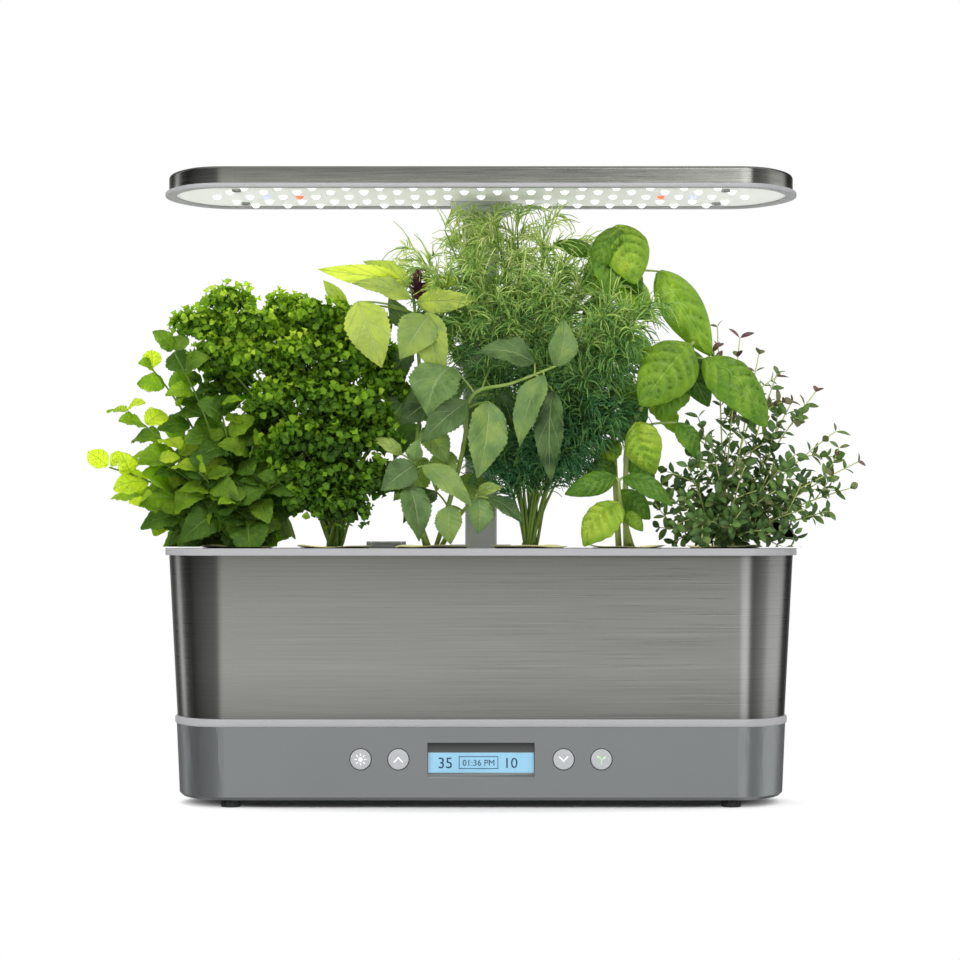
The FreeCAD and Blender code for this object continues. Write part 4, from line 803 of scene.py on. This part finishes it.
# Curly parsley: long stalks with heads of tightly frilled leaflets. Each head is a dome of leaflets that lie
# along its skin, and smaller heads fill in behind and between.
parsley_skin = leafy(
    "curly_parsley_leaf", [(0.0, "#3c6612"), (0.35, "#6c9e20"), (0.7, "#a2cc2c"), (1.0, "#dcf258")],
    "#b4d85a", 4.0, 2.0, 0.25, 0.45, 0.6, 0.6, 900.0)
parsley_heads = np.array([
    (-191, 10, 318), (-168, -5, 332), (-152, -20, 316), (-130, 5, 328), (-110, -12, 322), (-90, 0, 320),
    (-176, -15, 296), (-148, -28, 292), (-120, -30, 296), (-92, -25, 290), (-73, 5, 300), (-165, 15, 278),
    (-106, -38, 266), (-80, -34, 262), (-135, -36, 266), (-64, -8, 276), (-120, -44, 240), (-92, -44, 236),
    (-70, -28, 240), (-102, -40, 214), (-124, -30, 216), (-76, -34, 212), (-140, 12, 250),
    (-92, 18, 258)], float)
between = (parsley_heads + np.roll(parsley_heads, 5, axis=0)) / 2
between[:, 1] = np.clip(between[:, 1] + 12, -40, 16)
between[:6] = [(-112, -34, 200), (-90, -40, 194), (-68, -32, 216), (-130, -26, 234), (-100, -24, 222),
               (-74, -20, 252)]
tubes("parsley_stalk_tubes", arching(1, np.concatenate([parsley_heads, between])), 2.2, 1.4, stalk_skin,
      tone=0.35, replaced="parsley_stems")
leaflets = 170
for name, heads, replaced in (
        ("parsley_front", parsley_heads[::2], "parsley_heads"), ("parsley_middle", parsley_heads[1::2], None),
        ("parsley_behind", between[::2], None), ("parsley_below", between[1::2], None)):
    head, leaflet = every(len(heads), leaflets)
    count = len(head)
    level = 1 - 1.75 * (leaflet + 0.5) / leaflets
    azimuth = leaflet * 2.4 + head
    out = np.sqrt(1 - level ** 2)
    outward = np.stack([out * np.cos(azimuth), out * np.sin(azimuth), level], 1)
    swing = unit(np.cross(outward, unit(chance.normal(size=(count, 3)))))
    lobe = 0.8 + 0.28 * np.sin(3 * azimuth + head) * np.sin(2.3 * level * math.pi + head)
    radius = (lobe * chance.uniform(0.6, 1.15, count))[:, None]
    middle = heads[head] + outward * radius * (18.0, 13.0, 13.0)
    ahead = unit(outward * 0.9 + swing)
    size = chance.uniform(4.0, 7.5, count)
    # Painted light and shade: the tone is raised higher in the plant, on top of each head and on the outer
    # leaflets, and lowered right of x = -118 mm.
    tone = (0.3 + 0.3 * np.clip((middle[:, 2] - 225) / 95, 0, 1) + 0.2 * level - 0.1 * (middle[:, 0] > -118)
            + 0.8 * (radius[:, 0] - 0.85) + chance.uniform(-0.12, 0.16, count))
    leaves(name, middle - ahead * size[:, None] / 2, middle + ahead * size[:, None] / 2, size * 0.85,
           outward + (0, -0.2, 0.3), parsley_skin, tone, rows=5, ring=8, bulge=1.15, blunt=0.6, arch=0.12,
           cup=-0.2, teeth=0.8, teeth_count=2.6, wave=0.34, waves=1.3, thick=0.35, replaced=replaced)

# Thai basil: branching stalks with pointed, veined, grey-green leaves that hang. The young ones at the top
# are yellow-green, round a bud of purple bracts.
thai_skin = leafy(
    "thai_basil_leaf", [(0.0, "#3a5a2c"), (0.32, "#7fa05c"), (0.65, "#b6ca5c"), (1.0, "#e4f25a")],
    "#c2d49a", 7.0, 5.5, 0.38, 0.36, 0.42, 0.9)
thai_leaves = np.array([
    (-81, -32, 330, -65, -34, 287, 30), (-35, -26, 321, -53, -34, 293, 27),
    (-35, -22, 324, -26, -30, 277, 23), (-20, -36, 287, -36, -44, 256, 40),
    (-9, -36, 264, -39, -40, 238, 22), (5, -42, 264, -2, -46, 214, 28), (41, -46, 281, 24, -48, 235, 21),
    (47, -46, 271, 45, -48, 211, 20), (49, -46, 287, 55, -46, 318, 20), (35, -46, 289, -2, -46, 298, 24),
    (-53, -8, 347, -108, -14, 353, 15), (-47, 2, 343, -79, 8, 362, 14), (-47, -14, 334, -84, -26, 344, 17),
    (-42, -10, 332, -2, -20, 333, 16), (-42, 0, 338, -7, 6, 345, 13), (-43, -40, 223, -65, -48, 206, 21),
    (-47, -42, 210, -39, -48, 174, 21), (-38, -44, 222, -5, -50, 196, 17),
    (-20, -46, 196, -20, -50, 171, 19), (-2, -40, 201, -2, -46, 178, 20), (5, -38, 201, 28, -46, 184, 14),
    (-43, -38, 225, -41, -40, 240, 12), (-52, -34, 230, -71, -38, 241, 10),
    (-2, -30, 204, 14, -34, 209, 10), (-90, 6, 330, -106, 8, 348, 10), (-18, -8, 300, 6, -16, 284, 20),
    (-30, -12, 268, -54, -20, 250, 22), (-12, 4, 240, 10, 0, 222, 20), (-40, 2, 250, -60, 6, 228, 20),
    (-20, -14, 232, -30, -22, 206, 20), (8, -8, 290, 28, -14, 304, 16), (-24, 10, 310, -6, 14, 324, 16),
    (-60, 8, 322, -84, 12, 306, 20), (-46, 6, 300, -70, 8, 268, 24), (-44, 0, 276, -66, -6, 246, 24),
    (-36, 4, 228, -58, 2, 200, 22), (-8, 6, 262, 14, 8, 238, 22), (-14, 8, 286, -32, 12, 262, 22),
    (-14, 0, 216, 6, -6, 194, 20), (-30, -4, 206, -52, -14, 186, 18), (-40, 8, 326, -18, 12, 302, 22),
    (-38, -18, 248, -22, -24, 224, 20), (12, -20, 270, 22, -18, 246, 16),
    (-48, 2, 316, -62, -2, 336, 14)], float)
thai_lines = [smooth_line(points) for points in (
    [(-37, 0, sponge_top), (-44, -18, 214), (-40, -14, 268), (-44, -6, 326), (-46, -6, 340)],
    [(-30, -3, sponge_top), (-12, -24, 232), (-6, -36, 268), (20, -43, 276), (46, -46, 286)],
    [(-34, -5, sponge_top), (-44, -30, 200), (-44, -38, 224)],
    [(-28, 2, sponge_top), (-14, -30, 190), (-2, -36, 202)])]
tubes("thai_stalk_tubes", np.array(thai_lines), 3.6, 1.8, stalk_skin, 8, 0.55, replaced="thai_basil_stems")
tubes("thai_leaf_stalks", leaf_stalks(thai_lines, thai_leaves[:, :3]), 1.6, 1.2, stalk_skin, tone=0.6)
count = len(thai_leaves)
k = np.arange(count)
young = np.clip((thai_leaves[:, 2] - 322) / 14, 0, 1)
facing = np.stack([0.45 * np.sin(k * 1.7), np.full(count, -1.0), 0.35 + 0.5 * np.sin(k * 2.3)], 1)
leaves("thai_leaf_shells", thai_leaves[:, :3], thai_leaves[:, 3:6], thai_leaves[:, 6], facing, thai_skin,
       0.26 + 0.6 * young + chance.uniform(-0.22, 0.22, count), rows=43, ring=22, bulge=0.72, blunt=0.9,
       arch=chance.uniform(0.06, 0.16, count), droop=chance.uniform(0, 0.12, count), fold=0.12, pucker=0.06,
       teeth=0.12, teeth_count=13, wave=0.06, waves=2.0, replaced="thai_basil_leaves")
bract_skin = leafy("purple_bract", [(0.0, "#3a1f2c"), (1.0, "#7a4650")], "#8d5a5c", 5.0, 4.0, 0.3, 0.5, 0.2)
bracts = 22
k = np.arange(bracts)
height = 336 + 15 * (k // 4) / 5
spread = 8.0 * (1.15 - (k // 4) / 6)
start = np.stack([-42 + 0 * k, -8 + 0 * k, height - 3], 1)
finish = start + np.stack([spread * np.cos(k * 2.4), spread * np.sin(k * 2.4), 6 + 0 * k], 1)
leaves("purple_bud", start, finish, 5.0, (0, -0.4, 1.0), bract_skin, chance.uniform(0, 1, bracts), rows=8,
       ring=10, arch=0.15, fold=0.15)

# Dill: thin stalks whose ends branch into soft threads, painted lighter and yellow-green towards the top and
# darker and blue-green lower down, as painted light and shade.
# The threads are two pieces, above and below their middle height, because one would be too large.
dill_skin = leafy("dill_thread", [(0.0, "#4c8a58"), (0.4, "#90be62"), (0.7, "#cce480"), (1.0, "#f6fcbc")],
                  "#8fbf6a", 1.0, 0.0, 0.0, 0.5, 0.45, 0.1)
dill_tips = np.array([
    (-42, 2, 366), (-24, -12, 380), (-8, 8, 388), (8, -8, 392), (24, 10, 390), (42, -6, 382), (58, 8, 368),
    (70, -14, 352), (84, -30, 330), (98, -34, 318), (108, -36, 328), (-30, -20, 350), (0, -28, 352),
    (24, -32, 346), (48, -30, 340), (64, -36, 312), (44, -40, 288), (72, -26, 282), (88, -18, 262),
    (66, -30, 246), (52, -42, 232), (36, -20, 236), (10, -14, 226), (84, 4, 300), (12, 12, 330)], float)
dill_tips[:, 1] = np.where(dill_tips[:, 0] > 80, dill_tips[:, 1], 0.6 * dill_tips[:, 1] + 5)
dill_lines = arching(3, dill_tips, 25)
tubes("dill_stalk_tubes", dill_lines, 2.2, 0.8, stalk_skin, tone=0.4, replaced="dill_stems")
branches, threads = 26, 18
stalk, branch = every(len(dill_tips), branches)
count = len(stalk)
along_stalk = 11 + (branch * 13 / (branches - 1)).astype(int)
root = dill_lines[stalk, along_stalk]
heading = unit(root - dill_lines[stalk, along_stalk - 1])
side_way = unit(np.cross(heading, unit(chance.normal(size=(count, 3)) * (1, 0.8, 0.6))))
size = (34 - 0.6 * branch) * chance.uniform(0.7, 1.15, count)
end = root + unit(heading * 0.75 + side_way - (0, 0, 0.15)) * size[:, None]
branch_lines = bowed(root, (root + end) / 2 + heading * 7, end, 20)
# Painted light: the branches' tone rises with height.
tubes("dill_branches", branch_lines[:, ::3], 0.9, 0.5, dill_skin, 4,
      0.5 + 0.3 * np.clip((end[:, 2] - 300) / 80, -1, 1))
upper = end[:, 2] > np.median(end[:, 2])
for name, chosen, replaced in (
        ("dill_threads_low", ~upper, "dill_fronds"), ("dill_threads_high", upper, None)):
    twig, thread = every(np.nonzero(chosen)[0], threads)
    count = len(twig)
    root = branch_lines[twig, 1 + thread]
    ahead = unit(root - branch_lines[twig, thread])
    side_way = unit(np.cross(ahead, chance.normal(size=(count, 3))))
    size = chance.uniform(9, 24, count) * (1.15 - 0.5 * thread / threads)
    finish = root + unit(ahead * 1.1 + side_way - (0, 0, 0.35)) * size[:, None]
    bend = root + unit(ahead * 0.8 + side_way * 0.8 + (0, 0, 0.35)) * size[:, None] * 0.6
    # Painted light: the threads' tone rises with height.
    tubes(name, bowed(root, bend, finish, 4), 0.9, 0.45, dill_skin, 4,
          0.38 + 0.4 * np.clip((finish[:, 2] - 300) / 80, -1, 1) + chance.uniform(-0.25, 0.25, count),
          replaced)

# Genovese basil: thick pale stalks with large glossy leaves, cupped like spoons and puckered between veins.
# Those high on the left are painted lighter, as painted backlight.
basil_skin = leafy(
    "genovese_basil_leaf", [(0.0, "#2c5620"), (0.4, "#649430"), (0.7, "#9cc23c"), (1.0, "#e2ec5c")],
    "#b4d86c", 6.0, 5.0, 0.3, 0.26, 0.4, 0.9)
basil_leaves = np.array([
    (90, -16, 382, 102, -30, 343, 32), (74, -10, 370, 87, -26, 332, 20), (118, -10, 352, 152, -18, 296, 28),
    (137, -34, 302, 104, -44, 262, 38), (147, -30, 293, 188, -38, 249, 32),
    (134, -16, 300, 150, -20, 262, 22), (136, -12, 276, 116, -20, 254, 20),
    (129, -24, 251, 143, -30, 227, 16), (102, -30, 251, 113, -36, 217, 26),
    (88, -38, 215, 55, -46, 204, 16), (93, -40, 215, 125, -48, 197, 16), (90, -42, 198, 66, -50, 171, 28),
    (94, -34, 192, 106, -38, 180, 11), (75, -4, 365, 48, -2, 372, 12), (96, 2, 362, 106, 6, 336, 16),
    (84, 6, 340, 70, 10, 312, 18), (112, 4, 270, 132, 8, 246, 20), (92, 0, 240, 76, -2, 222, 18),
    (98, 10, 310, 116, 14, 290, 18), (88, 8, 366, 70, 16, 338, 22), (92, 10, 350, 112, 18, 322, 24),
    (88, 12, 322, 98, 20, 290, 24), (86, 10, 300, 64, 14, 280, 22), (108, 2, 268, 92, 6, 240, 22),
    (120, 8, 282, 104, 14, 262, 20), (96, -4, 232, 116, 0, 212, 22), (88, 2, 262, 70, 4, 240, 20),
    (88, -6, 226, 70, -14, 210, 18), (92, -14, 206, 112, -18, 188, 18), (132, -14, 290, 152, -8, 274, 18),
    (92, -20, 380, 74, -24, 350, 20), (86, 0, 282, 104, -8, 262, 20)], float)
basil_lines = [smooth_line(points) for points in (
    [(97, 0, sponge_top), (96, -10, 214), (100, -16, 250), (126, -20, 288), (140, -28, 304)],
    [(92, 3, sponge_top), (88, 0, 250), (86, -2, 320), (88, -8, 374)],
    [(101, -3, sponge_top), (92, -30, 196), (90, -38, 214)])]
tubes("basil_stalk_tubes", np.array(basil_lines), 4.4, 2.0, stalk_skin, 8, 0.75, replaced="basil_stems")
tubes("basil_leaf_stalks", leaf_stalks(basil_lines, basil_leaves[:, :3]), 1.8, 1.3, stalk_skin, tone=0.7)
count = len(basil_leaves)
k = np.arange(count)
facing = np.stack([0.5 * np.sin(k * 2.1), np.full(count, -1.0), 0.45 + 0.4 * np.sin(k * 1.3)], 1)
# Painted light: high leaves left of x = 112 mm get a higher tone.
painted_backlight = 0.25 * np.clip((basil_leaves[:, 2] - 320) / 50, 0, 1) * (basil_leaves[:, 0] < 112)
leaves("basil_leaf_shells", basil_leaves[:, :3], basil_leaves[:, 3:6], basil_leaves[:, 6], facing, basil_skin,
       0.4 + painted_backlight + chance.uniform(-0.28, 0.34, count), rows=37, ring=30, bulge=0.8, blunt=0.72,
       arch=chance.uniform(0.12, 0.2, count), droop=0.05, cup=0.22, pucker=0.24, veins=6, wave=0.04,
       waves=1.5, thick=0.5, replaced="basil_leaves")

# Thyme: wiry stalks with many pairs of tiny leaves, dark green with purple ones towards the tips. Short
# twigs carry more of them.
thyme_skin = leafy("thyme_leaf", [(0.0, "#35562a"), (0.45, "#6d9244"), (0.7, "#8c7460"), (1.0, "#6a3c50")],
                   "#a3b478", 3.0, 2.0, 0.3, 0.5, 0.35, 0.3)
thyme_tips = np.array([
    (158, 4, 316), (172, -8, 308), (186, 6, 298), (196, -14, 284), (182, -24, 268), (208, 8, 266),
    (222, -10, 272), (236, -4, 246), (252, 4, 226), (244, -16, 208), (226, -26, 216), (206, -34, 230),
    (230, 10, 190), (212, -40, 194), (192, -44, 206), (172, -46, 222), (150, -40, 236), (136, -30, 222),
    (124, -34, 200), (118, -20, 182), (140, -48, 188), (162, -52, 184), (184, -52, 180), (204, -46, 178),
    (146, 14, 256), (166, 20, 244), (190, 18, 226), (132, 8, 210), (210, 24, 204), (150, 26, 200)], float)
thyme_lines = arching(5, thyme_tips, 25, 8.0, 0.4)
tubes("thyme_stalk_tubes", thyme_lines, 1.4, 0.8, stalk_skin, tone=1.0, replaced="thyme_stems")
twigs = 3
stalk, twig = every(len(thyme_tips), twigs)
root = thyme_lines[stalk, 9 + 5 * twig]
heading = unit(root - thyme_lines[stalk, 8 + 5 * twig])
swing = unit(np.cross(heading, chance.normal(size=(len(stalk), 3))))
finish = root + unit(heading + swing * 0.9) * chance.uniform(14, 26, len(stalk))[:, None]
twig_lines = bowed(root, (root + finish) / 2 + heading * 2, finish, 5)
tubes("thyme_twigs", twig_lines, 1.0, 0.6, stalk_skin, 4, 1.0)
grips = (thyme_lines[:, 8::2], twig_lines[:, 1:])
nodes = np.concatenate([line.reshape(-1, 3) for line in grips])
ways = np.concatenate([unit(np.gradient(line, axis=1)).reshape(-1, 3) for line in grips])
nodes, ways = np.repeat(nodes, 2, axis=0), np.repeat(ways, 2, axis=0)
count = len(nodes)
turn = (np.arange(count) // 2) * 1.5 + (np.arange(count) % 2) * math.pi
first_way = unit(np.cross(ways, (0.2, 0.9, 0.3)))
swing = np.cos(turn)[:, None] * first_way + np.sin(turn)[:, None] * np.cross(ways, first_way)
reach = unit(swing + ways * chance.uniform(0.2, 0.9, count)[:, None])
size = chance.uniform(6.0, 10.5, count)
purple = np.clip((nodes[:, 2] - 235) / 70, 0, 1) * 0.5 + np.clip((nodes[:, 0] - 215) / 40, 0, 1) * 0.35
leaves("thyme_leaf_shells", nodes + reach * 0.4, nodes + reach * size[:, None], size * 0.56,
       ways + (0, -0.6, 0.3), thyme_skin, 0.22 + purple + chance.uniform(-0.25, 0.28, count), rows=6, ring=8,
       bulge=0.95, blunt=0.7, arch=0.12, cup=0.06, thick=0.4, replaced="thyme_leaves")
